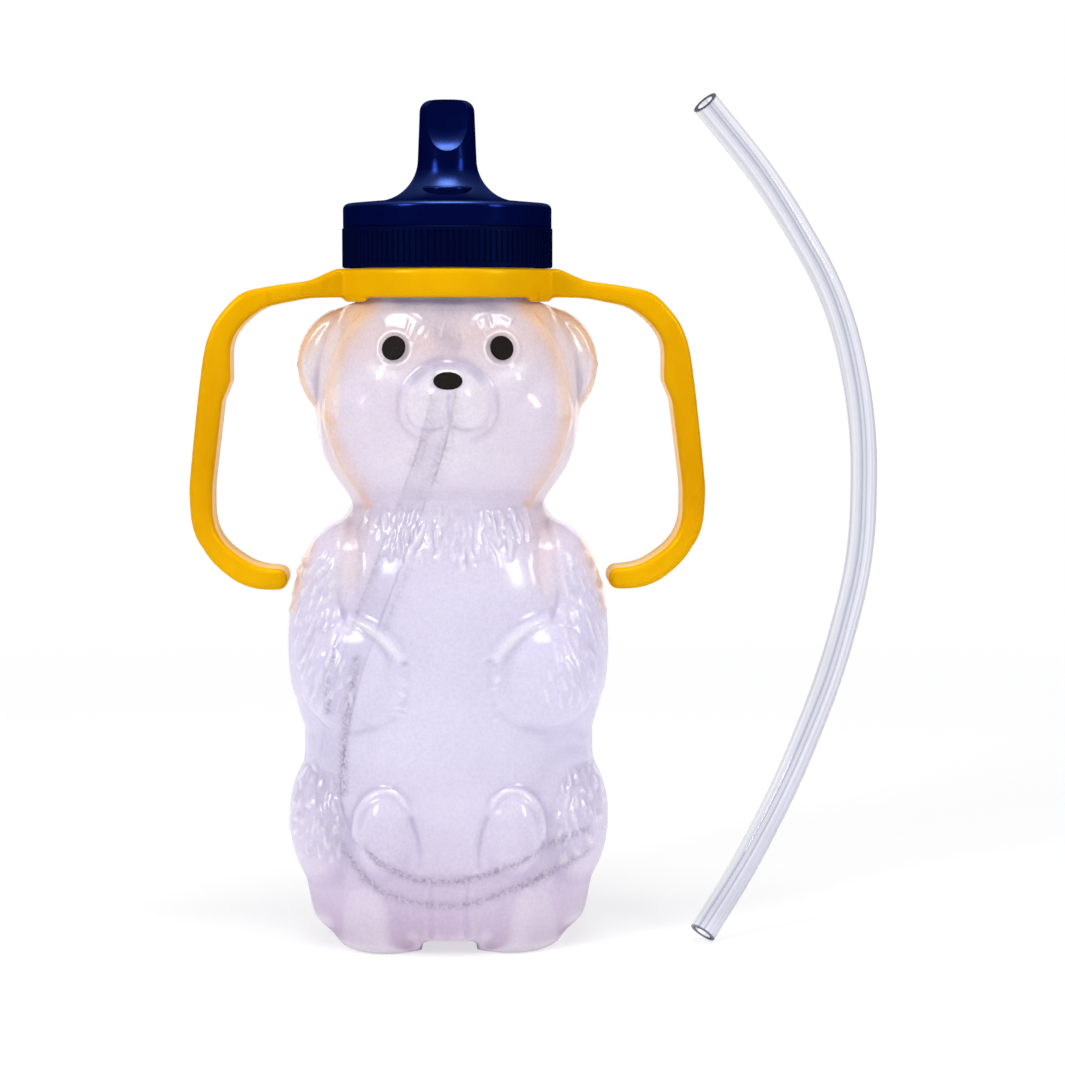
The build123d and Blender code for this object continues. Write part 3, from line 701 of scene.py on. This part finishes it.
def painted_streak_places(places):
    """Painted shade: grainy streaks painted on the wall where the edges of the tube inside show
    through the pebbled wall.
    """
    flat = places[:, [0, 2]]
    streak = np.zeros(len(places))
    for width, share, line in PAINTED_STREAKS:
        gap, along = distance_to_line(flat, rounded_line(line, 2))
        streak = np.maximum(streak, share * bell(gap / width) * tapered(along, 0.12))
    return streak * (places[:, 1] < 0)


# How often the places are averaged for the painted shade in folds and the painted highlight on
# crests
BLUR_ROUNDS = 7
# Share of the skin's faces that the inner wall keeps
INNER_SHARE = 0.16


def carve_relief(skin):
    """Raises and sinks the skin's front: face, limbs' edges, soles and fur."""
    places = points_of(skin)
    normals = normals_of(skin)
    flat = places[:, [0, 2]]
    front = smooth_step((1.0 - places[:, 1]) / 5) * smooth_step((0.25 - normals[:, 1]) / 0.35)
    rise = side_relief(flat)
    for root, lean, length, width, height in fur_rows():
        near = np.abs(flat - np.array(root)).max(axis=1) < length + 1
        rise[near] += lock(flat[near], root, lean, length, width, height)
    rise *= front
    seam = bell((places[:, 1] - SEAM_DEPTH) / SEAM_WIDTH)
    seam *= smooth_step(np.abs(normals[:, 0]) * 2)
    low, high = SEAM_LEVELS
    rise += SEAM_HEIGHT * seam * (places[:, 2] < high) * (places[:, 2] > low)
    places += normals * rise[:, None]
    places[:, 1] += ear_dish(places, normals)
    places[:, 2] = np.maximum(places[:, 2], 0)
    put_points(skin, places)
    blurred = places
    for _ in range(BLUR_ROUNDS):
        blurred = neighbour_mean(skin, blurred)
    # Painted shade in the folds and painted highlight on the crests: how far each point lies below
    # or above its blurred neighbours
    give_tone(skin, "hollow", np.einsum("ij,ij->i", blurred - places, normals_of(skin)))
    # Painted orange glow of the yellow collar's light along the face's edge, arm folds, shoulders,
    # temples and ear rims
    give_tone(skin, "painted_warm_glow", painted_collar_glow_places(places))
    # Painted blue-grey shade over the bridge of the nose and under the collar
    give_tone(skin, "painted_cool_shade", painted_cool_shade_places(places))
    # Painted highlights on the ears, the muzzle, under the eyes and over the hands
    give_tone(skin, "pale", painted_highlight_places(places))
    # Painted streaks that stand in for the tube inside seen through the wall
    give_tone(skin, "streak", painted_streak_places(places))


def inner_wall(skin):
    """The inside of the bottle's wall: a lighter copy of the skin, drawn in and turned round."""
    choose(skin)
    bpy.ops.object.duplicate()
    inside = bpy.context.active_object
    inside.name = "inner_wall"
    with_modifier(inside, "DECIMATE", ratio=INNER_SHARE)
    with_modifier(inside, "SMOOTH", factor=0.5, iterations=3)
    edit_all(inside)
    bpy.ops.transform.shrink_fatten(value=-WALL * MM)
    bpy.ops.mesh.flip_normals()
    leave_edit()
    return inside


def open_mouth(piece, level):
    """Takes the top off a closed form, so that the neck is open."""
    edit_all(piece)
    bpy.ops.mesh.bisect(
        plane_co=metres(0, 0, level), plane_no=(0, 0, 1), clear_outer=True, use_fill=False
    )
    leave_edit()


def bear_skin():
    """The blown bear with its outer relief, its inner wall and its open neck."""
    skin = bear_blank()
    inside = inner_wall(skin)
    edit_parts(skin, "FACE", in_relief)
    bpy.ops.mesh.subdivide(number_cuts=1, smoothness=0)
    leave_edit()
    carve_relief(skin)
    with_modifier(skin, "SMOOTH", factor=0.4, iterations=1)
    give_tone(skin, "skin", np.ones(len(skin.data.vertices)))
    open_mouth(skin, MOUTH_LEVEL)
    open_mouth(inside, MOUTH_LEVEL)
    whole = joined([skin, inside], "bear_skin")
    edit_parts(whole, "EDGE", lambda edge: edge.is_boundary)
    bpy.ops.mesh.bridge_edge_loops()
    leave_edit()
    return smooth_shaded(whole, 60)


# The collar

# Height, inner side, outer side of a loop, and how far its outer side draws in
LOOP_ROWS = (
    (76.3, 38.5, 47.4, 1.0), (78.7, 42.9, 49.6, 1.2), (81.0, 45.1, 50.8, 1.1),
    (85.8, 47.2, 52.4, 1.0), (90.6, 47.6, 52.6, 0.8), (100.0, 46.6, 51.6, 0.6),
    (109.5, 45.3, 50.6, 0.5), (114.2, 44.6, 50.0, 0.5), (119.0, 43.9, 49.4, 0.4),
    (121.3, 43.5, 49.1, 0.3), (123.7, 43.1, 48.8, 0.3), (127.0, 42.5, 48.0, 0.3),
)
# The upper corner of a loop: where it is, how far its rounding reaches and what it moves
LOOP_CORNER = ((48.5, 130.5), (9.0, 5.8), (-2.1, -1.7))
# Where the corner's move starts outwards of the ring, and over what reach it comes in
CORNER_START = 24
CORNER_EASE = 8
# The loops' feet: the level of their full lift, the level where it ends, and the lift
LOOP_FOOT = (76.0, 84.0, 0.8)
# Grain, merging gap and smoothing of a softened moulding
MOULDING_VOXEL = 0.4
MERGE_GAP = 0.001
MOULDING_SMOOTHING = 10


def round_loops(piece):
    """Thins the loops' outer sides and rounds their corners, alike on both hands."""
    places = points_of(piece)
    out, height = np.abs(places[:, 0]), places[:, 2]
    side = np.sign(places[:, 0])
    levels, inner, outer, draw = np.array(LOOP_ROWS).T
    start = np.interp(height, levels, inner)
    share = smooth_step((out - start) / (np.interp(height, levels, outer) - start))
    (x, z), (wide, high), (across, down) = LOOP_CORNER
    near = np.exp(-(((out - x) / wide) ** 2 + ((height - z) / high) ** 2) / 2)
    near *= smooth_step((out - CORNER_START) / CORNER_EASE)
    low, top, lift = LOOP_FOOT
    foot = smooth_step((top - height) / (top - low))
    moved = near * across - share * np.interp(height, levels, draw)
    places[:, 0] += side * moved
    places[:, 2] += near * down + foot * lift
    put_points(piece, places)
    return piece


def soft_moulding(node, name):
    """A copy of a solid whose edges and corners are rounded as a mould leaves them."""
    piece = bpy.data.objects.new(name, node.data.copy())
    piece.data.name = name
    bpy.context.scene.collection.objects.link(piece)
    piece.matrix_world = node.matrix_world.copy()
    settle(piece)
    edit_all(piece)
    bpy.ops.mesh.remove_doubles(threshold=MERGE_GAP * MM)
    leave_edit()
    with_modifier(piece, "REMESH", mode="VOXEL", voxel_size=MOULDING_VOXEL * MM, adaptivity=0.0)
    with_modifier(piece, "SMOOTH", factor=0.5, iterations=MOULDING_SMOOTHING)
    return smooth_shaded(piece, 60)


# The tubes

TUBE_RADIUS = 2.7
TUBE_WALL = 0.9
BEND_SHARE = 0.45
BEND_POINTS = 9
ROUTE_STEP = 2.5
END_STEP = 0.3
BORE_SHADE_SHARE = 0.3
# Corners of the tube in the bottle, from the spout down, and of the loose one, from its foot up
INNER_ROUTE = (
    (0.0, 0.0, 139.7), (0.0, 0.0, 107.55), (-21.61, 2.93, 50.33), (-25.58, 3.90, 27.02),
    (-21.02, 4.88, 13.95), (-9.11, 5.98, 7.24), (7.94, 6.22, 6.62), (25.43, 5.49, 14.83),
)
LOOSE_ROUTE = (
    (51.03, -12.0, 1.82), (59.95, -5.76, 13.76), (69.55, -1.44, 30.85), (78.31, 0.0, 52.42),
    (84.45, 0.0, 76.47), (84.71, 0.0, 103.85), (79.15, -0.48, 128.73), (64.83, -3.0, 151.96),
    (50.77, -9.0, 167.72),
)


def bent_route(corners):
    """Points along straight runs joined by arcs, with a short step at both cut ends."""
    corners = [np.array(corner, float) for corner in corners]
    points = [corners[0]]
    for before, corner, after in zip(corners, corners[1:], corners[2:]):
        first, second = corner - before, after - corner
        shorter = min(np.linalg.norm(first), np.linalg.norm(second))
        first, second = unit(first), unit(second)
        half = math.acos(np.clip(first @ second, -1, 1)) / 2
        reach = BEND_SHARE * shorter
        radius = reach / math.tan(half)
        inward = unit(second - first)
        forward = unit(first + second)
        centre = corner + inward * radius / math.cos(half)
        for turn in np.linspace(-half, half, BEND_POINTS):
            points.append(centre + radius * (math.sin(turn) * forward - math.cos(turn) * inward))
    points.append(corners[-1])
    route = [points[0]]
    for start, end in zip(points, points[1:]):
        steps = max(1, round(np.linalg.norm(end - start) / ROUTE_STEP))
        route += [start + (end - start) * k / steps for k in range(1, steps + 1)]
    route.insert(1, route[0] + END_STEP * unit(route[1] - route[0]))
    route.insert(len(route) - 1, route[-1] + END_STEP * unit(route[-2] - route[-1]))
    return np.array(route)


def bent_tube(name, corners):
    """A clear tube along a route: a thick line made into a mesh, then given its wall."""
    route = bent_route(corners)
    line = bpy.data.curves.new(name, "CURVE")
    line.dimensions = "3D"
    strand = line.splines.new("POLY")
    strand.points.add(len(route) - 1)
    for point, place in zip(strand.points, route):
        point.co = (*metres(*place), 1)
    line.bevel_depth = TUBE_RADIUS * MM
    line.bevel_resolution = 9
    piece = bpy.data.objects.new(name, line)
    bpy.context.scene.collection.objects.link(piece)
    choose(piece)
    bpy.ops.object.convert(target="MESH")
    piece = bpy.context.active_object
    edit_all(piece)
    faces_outward(piece)
    with_modifier(piece, "SOLIDIFY", thickness=TUBE_WALL * MM, offset=-1, use_rim=True)
    mark_tube(piece, route)
    return smooth_shaded(piece, 50)


def mark_tube(piece, route):
    """Keeps for the material where each point lies: across the front, along, and at an end."""
    places = points_of(piece)
    gaps = np.linalg.norm(places[:, None] - route[None], axis=2)
    nearest = gaps.argmin(axis=1)
    along = nearest / (len(route) - 1)
    tangents = unit(np.gradient(route, axis=0))
    across = unit(np.cross(tangents[nearest], (0, -1, 0)))
    offset = places - route[nearest]
    outer = np.linalg.norm(offset, axis=1) > TUBE_RADIUS - TUBE_WALL / 2
    share = np.einsum("ij,ij->i", offset, across) / TUBE_RADIUS
    give_tone(piece, "across", np.where(outer, share, BORE_SHADE_SHARE * share) * 0.5 + 0.5)
    give_tone(piece, "along", along)
    give_tone(piece, "outer", outer)
    give_tone(piece, "end", (nearest == 0) | (nearest == len(route) - 1))


# Materials


class Finish:
    """A material or a world under construction: its nodes, and short names for adding them."""

    def __init__(self, name, kind="materials", output="OutputMaterial"):
        self.owner = getattr(bpy.data, kind).new(name)
        self.owner.use_nodes = True
        self.nodes = self.owner.node_tree.nodes
        self.links = self.owner.node_tree.links
        self.nodes.clear()
        self.output = self.nodes.new("ShaderNode" + output)
        self.place = self.nodes.new("ShaderNodeTexCoord").outputs["Object"]

    def node(self, kind, **inputs):
        """Adds a node; each input is a value or another node's output."""
        made = self.nodes.new("ShaderNode" + kind)
        for key, value in inputs.items():
            socket = made.inputs[int(key[1:]) if key[1:].isdigit() else key.replace("_", " ")]
            if isinstance(value, bpy.types.NodeSocket):
                self.links.new(value, socket)
            else:
                socket.default_value = value
        return made

    def stretched(self, scale):
        """The object's own place, stretched."""
        return self.node("Mapping", Vector=self.place, Scale=scale).outputs[0]

    def told(self, name):
        """A number that the piece's own vertices carry."""
        made = self.node("Attribute")
        made.attribute_name = name
        return made.outputs["Fac"]

    def glance(self, ior, normal, most):
        """The share of light that a clear skin throws back, on its outer side alone."""
        share = self.node("Fresnel", IOR=ior, Normal=normal).outputs[0]
        behind = self.node("NewGeometry").outputs["Backfacing"]
        outside = self.maths("SUBTRACT", 1.0, behind)
        return self.times(self.maths("MINIMUM", share, most), outside)

    def upright(self, vector):
        """The upright part of a place or a direction."""
        return self.node("SeparateXYZ", Vector=vector).outputs["Z"]

    def noise(self, scale, detail=3, rough=0.5, vector=None):
        """Grey clouds from 0 to 1."""
        made = self.node(
            "TexNoise", Vector=vector or self.place, Scale=scale, Detail=detail, Roughness=rough
        )
        return made.outputs["Fac"]

    def ramp(self, value, stops):
        """Colours along a value, as they are seen on a screen."""
        made = self.node("ValToRGB", Fac=value)
        row = made.color_ramp.elements
        while len(row) < len(stops):
            row.new(0.5)
        for element, (at, colour) in zip(row, stops):
            element.position = at
            element.color = (*shown(*colour), 1)
        return made.outputs["Color"]

    def fitted(self, value, low, high, new_low, new_high):
        """A value carried from one range to another."""
        made = self.node("MapRange", Value=value)
        for socket, number in zip(made.inputs[1:5], (low, high, new_low, new_high)):
            socket.default_value = number
        return made.outputs["Result"]

    def maths(self, kind, first, second):
        """One sum with two numbers."""
        made = self.node("Math", _0=first, _1=second)
        made.operation = kind
        return made.outputs[0]

    def times(self, first, second):
        """Two numbers multiplied."""
        return self.maths("MULTIPLY", first, second)

    def plus(self, first, second):
        """Two numbers added."""
        return self.maths("ADD", first, second)

    def seen_directly(self):
        """1 for what the camera sees, also through clear pieces, and 0 for other light."""
        path = self.node("LightPath").outputs
        return self.maths("MAXIMUM", path["Is Camera Ray"], path["Is Transmission Ray"])

    def from_middle(self):
        """How far a tube's point lies from the middle line of its front, from 0 to 1."""
        across = self.fitted(self.told("across"), 0.0, 1.0, -1.0, 1.0)
        return self.maths("ABSOLUTE", across, 0.0)

    def mixed(self, share, first, second):
        """Two colours mixed by a share."""
        made = self.nodes.new("ShaderNodeMix")
        made.data_type = "RGBA"
        self.links.new(share, made.inputs[0])
        for socket, colour in ((made.inputs[6], first), (made.inputs[7], second)):
            if isinstance(colour, bpy.types.NodeSocket):
                self.links.new(colour, socket)
            else:
                socket.default_value = (*colour, 1)
        return made.outputs[2]

    def bump(self, height, strength, distance):
        """A surface direction that follows fine heights."""
        made = self.node("Bump", Height=height, Strength=strength, Distance=distance)
        return made.outputs["Normal"]

    def blended(self, share, first, second):
        """The finished material or world: two shaders in shares, joined to the output."""
        both = self.node("MixShader", _0=share, _1=first.outputs[0], _2=second.outputs[0])
        self.links.new(both.outputs[0], self.output.inputs["Surface"])
        return self.owner

    def surface(self, **inputs):
        """The finished material: the main shader, joined to the output."""
        made = self.node("BsdfPrincipled", **inputs)
        self.links.new(made.outputs[0], self.output.inputs["Surface"])
        return self.owner


def grey(value):
    """A colour without a hue."""
    return (value, value, value)


def shown(red, green, blue):
    """A colour as it is seen on a screen, turned into the light that a shader wants."""
    return tuple(
        v / 12.92 if v <= 0.04045 else ((v + 0.055) / 1.055) ** 2.4
        for v in (red / 255, green / 255, blue / 255)
    )


def milky_plastic():
    """Blown low-density plastic: pale lavender, milky and finely pebbled, with painted light and
    shade: painted darker shade in its folds, painted highlights, a painted glow from the collar and
    painted streaks of the tube inside.
    """
    finish = Finish("milky_plastic")
    height = finish.upright(finish.place)
    share = finish.fitted(height, 0, 0.142, 0, 1)
    tone = finish.ramp(
        share,
        [
            (0.0, (190, 168, 190)), (0.06, (212, 195, 218)), (0.15, (224, 216, 238)),
            (0.28, (222, 217, 241)), (0.5, (221, 216, 239)), (0.62, (228, 220, 240)),
            (0.8, (234, 224, 240)), (0.86, (228, 204, 204)), (0.92, (208, 200, 222)),
        ],
    )
    cloud = finish.noise(45, 4)
    hollow = finish.told("hollow")
    # Painted shade in the folds, which also get a little more cover
    fold_shade = finish.fitted(hollow, 0.02, 0.18, 0, 0.55)
    # Painted shade: grainy streaks that stand in for the tube inside seen through the wall
    tube_streak_shade = finish.times(finish.told("streak"), 0.6)
    tube_streak_grain = finish.times(finish.fitted(finish.noise(1250, 3, 0.7), 0.40, 0.62, 0, 1), tube_streak_shade)
    rim = finish.node("LayerWeight", Blend=0.25).outputs["Facing"]
    for share, colour in (
        (finish.fitted(cloud, 0.35, 0.7, 0, 0.25), (248, 244, 254)),
        # Painted blue-grey shade
        (finish.times(finish.told("painted_cool_shade"), 0.62), (142, 144, 182)),
        # Painted streaks of the tube inside
        (finish.plus(tube_streak_grain, finish.times(tube_streak_shade, 0.25)), (124, 112, 138)),
        # Painted highlights
        (finish.times(finish.told("pale"), 0.75), (252, 250, 255)),
        (fold_shade, (160, 150, 182)),
        # Painted highlight on the crests
        (finish.fitted(hollow, -0.03, -0.18, 0, 0.55), (254, 253, 255)),
        # Painted orange glow of the yellow collar's light
        (finish.times(finish.told("painted_warm_glow"), 0.6), (255, 196, 104)),
        (finish.fitted(rim, 0.75, 1.0, 0, 0.4), (190, 176, 212)),
    ):
        tone = finish.mixed(share, tone, shown(*colour))
    grain = finish.noise(1500, 2, 0.6)
    cover = finish.fitted(rim, 0.0, 0.8, 0.62, 0.9)
    cover = finish.plus(cover, finish.fitted(height, 0.010, 0.022, 0.25, 0.0))
    cover = finish.plus(cover, finish.fitted(grain, 0.3, 0.7, -0.05, 0.05))
    cover = finish.plus(cover, finish.times(fold_shade, 0.3))
    cover = finish.times(cover, finish.fitted(finish.told("skin"), 0, 1, 0.1, 1))
    normal = finish.bump(finish.noise(380, 3, 0.55), 0.10, 0.0003)
    matt = finish.node("BsdfDiffuse", Color=tone, Roughness=0.3, Normal=normal)
    glow = finish.node("BsdfTranslucent", Color=tone, Normal=normal)
    milk = finish.node("MixShader", _0=0.35, _1=matt.outputs[0], _2=glow.outputs[0])
    clear = finish.node("BsdfTransparent")
    wall = finish.node("MixShader", _0=cover, _1=clear.outputs[0], _2=milk.outputs[0])
    shine = finish.node("BsdfGlossy", Color=(1, 1, 1, 1), Roughness=0.16, Normal=normal)
    glance = finish.times(finish.glance(1.45, normal, 0.3), finish.told("skin"))
    return finish.blended(glance, wall, shine)


def yellow_plastic():
    """Moulded yellow: satin, a little waxy, with faint flow marks, and painted light and shade:
    lighter and darker by height, and a painted pale reflection on faces seen edge-on.
    """
    finish = Finish("yellow_moulding")
    flow = finish.noise(90, 4, 0.6, finish.stretched((1, 1, 0.35)))
    height = finish.upright(finish.place)
    # Painted light and shade by height: lighter at the loops' feet and at the ring, darker orange
    # in between
    tone = finish.ramp(
        finish.fitted(height, 0.070, 0.145, 0, 1),
        [
            (0.0, (220, 162, 3)), (0.15, (210, 148, 1)), (0.35, (197, 136, 0)),
            (0.66, (199, 138, 0)), (0.8, (212, 152, 0)), (1.0, (218, 160, 0)),
        ],
    )
    tone = finish.mixed(finish.fitted(flow, 0.35, 0.7, 0, 0.35), tone, shown(230, 176, 4))
    # Painted pale reflection on faces seen edge-on, such as the loops' inner faces
    facing = finish.node("LayerWeight", Blend=0.5).outputs["Facing"]
    tone = finish.mixed(finish.fitted(facing, 0.78, 0.93, 0, 0.75), tone, shown(255, 226, 190))
    fine = finish.noise(900, 3, 0.6)
    normal = finish.bump(fine, 0.12, 0.0002)
    matt = finish.node("BsdfDiffuse", Color=tone, Normal=normal)
    rough = finish.fitted(flow, 0.2, 0.8, 0.24, 0.36)
    shine = finish.node("BsdfGlossy", Color=(1.0, 0.80, 0.05, 1), Roughness=rough, Normal=normal)
    return finish.blended(0.045, matt, shine)


def navy_plastic():
    """The cap's skirt: dark blue, semi-matte, with fine scuffs."""
    finish = Finish("navy_moulding")
    cloud = finish.noise(120, 4, 0.6)
    scuff = finish.noise(700, 5, 0.7, finish.stretched((1, 1, 0.2)))
    tone = finish.mixed(cloud, (0.0002, 0.0004, 0.010), (0.0003, 0.0012, 0.024))
    normal = finish.bump(scuff, 0.15, 0.0002)
    matt = finish.node("BsdfDiffuse", Color=tone, Normal=normal)
    rough = finish.fitted(scuff, 0.3, 0.7, 0.3, 0.45)
    shine = finish.node("BsdfGlossy", Color=(0.10, 0.25, 1.0, 1), Roughness=rough, Normal=normal)
    return finish.blended(0.012, matt, shine)


def gloss_blue():
    """The flip cover: deep glossy blue with blue highlights, broader where it slopes upwards."""
    finish = Finish("blue_gloss")
    cloud = finish.noise(60, 3)
    fine = finish.noise(500, 4, 0.6)
    tone = finish.mixed(cloud, (0.0001, 0.0004, 0.010), (0.0002, 0.0014, 0.036))
    normal = finish.bump(fine, 0.05, 0.0002)
    matt = finish.node("BsdfDiffuse", Color=tone, Normal=normal)
    upward = finish.upright(finish.node("NewGeometry").outputs["Normal"])
    sloped = finish.fitted(upward, 0.25, 0.65, 0.0, 1.0)
    rough = finish.fitted(fine, 0.3, 0.7, 0.16, 0.22)
    rough = finish.plus(rough, finish.fitted(upward, 0.25, 0.65, 0.0, 0.18))
    hue = finish.mixed(sloped, (0.05, 0.14, 1.0), (0.17, 0.32, 1.0))
    shine = finish.node("BsdfGlossy", Color=hue, Roughness=rough, Normal=normal)
    facing = finish.node("LayerWeight", Blend=0.3).outputs["Facing"]
    share = finish.fitted(facing, 0.0, 0.9, 1.0, 0.15)
    share = finish.times(share, finish.fitted(upward, 0.25, 0.65, 0.035, 0.21))
    share = finish.times(share, finish.fitted(upward, 0.8, 0.98, 1.0, 0.45))
    return finish.blended(share, matt, shine)


def clear_vinyl():
    """The loose clear tube: painted light and dark bands that stand in for the bore and the wall
    bending the light along it, painted grey edges and painted darker cut ends.
    """
    finish = Finish("clear_vinyl")
    along = finish.told("along")
    wave = finish.fitted(finish.noise(28, 2), 0.3, 0.7, -0.03, 0.03)
    drift = finish.plus(finish.fitted(along, 0, 1, 0.26, 0.0), wave)
    share = finish.plus(finish.told("across"), drift)
    pale, band, dark = (252, 252, 254), (218, 219, 230), (156, 158, 174)
    # Painted bands of light and shade across the tube's front, standing in for refraction
    tone = finish.ramp(
        share,
        [
            (0.02, (232, 232, 240)), (0.10, pale), (0.17, (190, 190, 206)),
            (0.23, (222, 222, 234)), (0.28, (255, 255, 255)), (0.38, (255, 255, 255)), (0.43, band),
            (0.60, (214, 216, 228)), (0.66, dark), (0.71, (244, 244, 250)),
            (0.80, pale), (0.90, (230, 230, 248)), (0.95, pale), (1.0, (214, 214, 228)),
        ],
    )
    streak = finish.noise(700, 3, 0.6, finish.stretched((1, 1, 0.12)))
    tone = finish.mixed(finish.fitted(streak, 0.45, 0.75, 0, 0.12), tone, shown(196, 196, 212))
    # Painted grey shade at the tube's edges
    side = finish.from_middle()
    tone = finish.mixed(finish.fitted(side, 0.90, 0.98, 0, 0.8), tone, shown(176, 176, 186))
    outer = finish.told("outer")
    tone = finish.mixed(outer, shown(246, 246, 251), tone)
    tone = finish.node("Gamma", Color=tone, Gamma=0.5).outputs[0]
    # Painted darker cut ends
    tone = finish.mixed(finish.told("end"), tone, shown(96, 96, 112))
    clear = finish.node("BsdfTransparent", Color=tone)
    normal = finish.bump(streak, 0.02, 0.0002)
    shine = finish.node("BsdfGlossy", Color=(1, 1, 1, 1), Roughness=0.12, Normal=normal)
    glance = finish.times(finish.glance(1.3, normal, 0.4), outer)
    return finish.blended(glance, clear, shine)


def streaked_vinyl():
    """The tube in the bottle: the same vinyl, with painted grainy dark edges that stand in for its
    refraction and show through the milky wall.
    """
    finish = Finish("streaked_vinyl")
    side = finish.from_middle()
    grain = finish.noise(1300, 3, 0.7)
    coarse = finish.noise(420, 2, 0.5)
    edge = finish.plus(side, finish.fitted(coarse, 0.3, 0.7, -0.14, 0.14))
    speck = finish.fitted(grain, 0.4, 0.6, 0.1, 1.0)
    # Painted grainy shade along the tube's edges, fainter in the head, also carried by a dark matt
    # layer
    dark = finish.times(finish.fitted(edge, 0.76, 0.9, 0, 1.0), speck)
    height = finish.upright(finish.place)
    fade = finish.fitted(height, 0.112, 0.118, 1.0, 0.3)
    dark = finish.times(dark, finish.times(fade, 0.6))
    tone = finish.mixed(dark, shown(252, 251, 254), shown(70, 64, 92))
    clear = finish.node("BsdfTransparent", Color=tone)
    matt = finish.node("BsdfDiffuse", Color=finish.mixed(dark, grey(0.5), grey(0.08)))
    return finish.blended(finish.times(dark, 0.7), clear, matt)


def soft_white(name, tone):
    """Soft white fittings inside the cap."""
    finish = Finish(name)
    cloud = finish.noise(200, 3)
    return finish.surface(
        Base_Color=finish.mixed(finish.fitted(cloud, 0.3, 0.7, 0, 0.3), tone, grey(0.95)),
        Roughness=0.5, Normal=finish.bump(cloud, 0.1, 0.0002),
        Subsurface_Weight=0.3, Subsurface_Scale=0.001,
    )


def black_print():
    """Printed black: satin, with tiny specks."""
    finish = Finish("black_print")
    speck = finish.noise(1800, 2, 0.6)
    tone = finish.mixed(
        finish.fitted(speck, 0.55, 0.75, 0, 1), (0.005, 0.003, 0.002), (0.016, 0.010, 0.008)
    )
    return finish.surface(
        Base_Color=tone, Roughness=0.55, Normal=finish.bump(speck, 0.15, 0.0001),
        Specular_IOR_Level=0.08,
    )


def floor_paint():
    """The pale floor, which keeps the object's shadow and is white to the camera."""
    finish = Finish("pale_floor")
    cloud = finish.noise(3, 2)
    tone = finish.mixed(cloud, grey(0.93), grey(0.95))
    matt = finish.node("BsdfDiffuse", Color=tone)
    glow = finish.node("Emission", Color=(1, 1, 1, 1), Strength=1.0)
    away = finish.node("VectorMath", _0=finish.place)
    away.operation = "LENGTH"
    far = finish.fitted(away.outputs["Value"], 0.15, 0.5, 0.6, 1.0)
    return finish.blended(finish.times(finish.seen_directly(), far), matt, glow)


def dress(piece, material):
    """Gives a piece one material."""
    piece.data.materials.clear()
    piece.data.materials.append(material)


# The pieces

bear = bear_skin()
dress(bear, milky_plastic())
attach(bear, "bottle")
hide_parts("bear_bottle")

collar = round_loops(soft_moulding(nodes["handle_collar"], "collar_moulding"))
dress(collar, yellow_plastic())
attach(collar, "handles")
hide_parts("handle_collar")

inner_tube = bent_tube("tube_in_bottle", INNER_ROUTE)
dress(inner_tube, streaked_vinyl())
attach(inner_tube, "tube")
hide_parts("drinking_tube")

loose_tube = bent_tube("loose_tube", LOOSE_ROUTE)
dress(loose_tube, clear_vinyl())
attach(loose_tube, "spare")
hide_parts("spare_tube")

node_finishes = {
    "cap_body": navy_plastic(),
    "cap_liner": soft_white("liner_foam", grey(0.80)),
    "drinking_spout": soft_white("soft_spout", (0.80, 0.80, 0.84)),
    "flip_cover": gloss_blue(),
}
print_finish = black_print()
for name in ("eye_left", "eye_right", "nose"):
    node_finishes[name] = print_finish
for name, finish in node_finishes.items():
    dress(nodes[name], finish)


# Stage, light and camera

# Lengths here are in metres and powers in watts
FLOOR_SIZE = 6
SURROUND_TINT = (0.95, 0.96, 1.0, 1)
SURROUND_LEVEL = 0.36
LAMP_AIM = (0.0, 0.0, 0.09)
# Place, power, width and height of each soft lamp
LAMPS = {
    "key_left": ((-0.50, -0.42, 0.48), 3.0, 0.15, 0.28),
    "fill_right": ((0.55, -0.38, 0.40), 2.0, 0.14, 0.28),
    "overhead": ((0.0, -0.14, 0.80), 3.0, 0.36, 0.24),
    "back_glow": ((0.0, 0.75, 0.25), 1.6, 0.9, 0.5),
}
# The camera's sensor in millimetres, and its focal length in widths of the picture
SENSOR_WIDTH = 36
FOCUS_SHARE = 2522 / 1065
# The camera's place in metres, and its tilt and turn in degrees
CAMERA_AT = (0, -0.510, 0.129)
CAMERA_TILT = 5.27
CAMERA_TURN = 1.92

bpy.ops.mesh.primitive_plane_add(size=FLOOR_SIZE, location=(0, 0, 0))
floor = named("floor")
dress(floor, floor_paint())

studio = Finish("studio", "worlds", "OutputWorld")
dim = studio.node("Background", Color=SURROUND_TINT, Strength=SURROUND_LEVEL)
white = studio.node("Background", Color=(1, 1, 1, 1), Strength=1.0)
bpy.context.scene.world = studio.blended(studio.seen_directly(), dim, white)

for name, (at, power, width, height) in LAMPS.items():
    light = bpy.data.lights.new(name, "AREA")
    light.shape = "RECTANGLE"
    light.energy = power
    light.size = width
    light.size_y = height
    lamp = bpy.data.objects.new(name, light)
    bpy.context.scene.collection.objects.link(lamp)
    lamp.location = at
    direction = Vector(LAMP_AIM) - Vector(at)
    lamp.rotation_euler = direction.to_track_quat("-Z", "Y").to_euler()

camera_data = bpy.data.cameras.new("camera")
camera_data.lens = FOCUS_SHARE * SENSOR_WIDTH
camera_data.sensor_width = SENSOR_WIDTH
camera_data.sensor_fit = "HORIZONTAL"
camera_data.clip_start = 0.01
camera = bpy.data.objects.new("camera", camera_data)
bpy.context.scene.collection.objects.link(camera)
camera.location = CAMERA_AT
camera.rotation_euler = (math.radians(90 - CAMERA_TILT), 0, -math.radians(CAMERA_TURN))
bpy.context.scene.camera = camera

bpy.context.scene.view_settings.view_transform = "Standard"
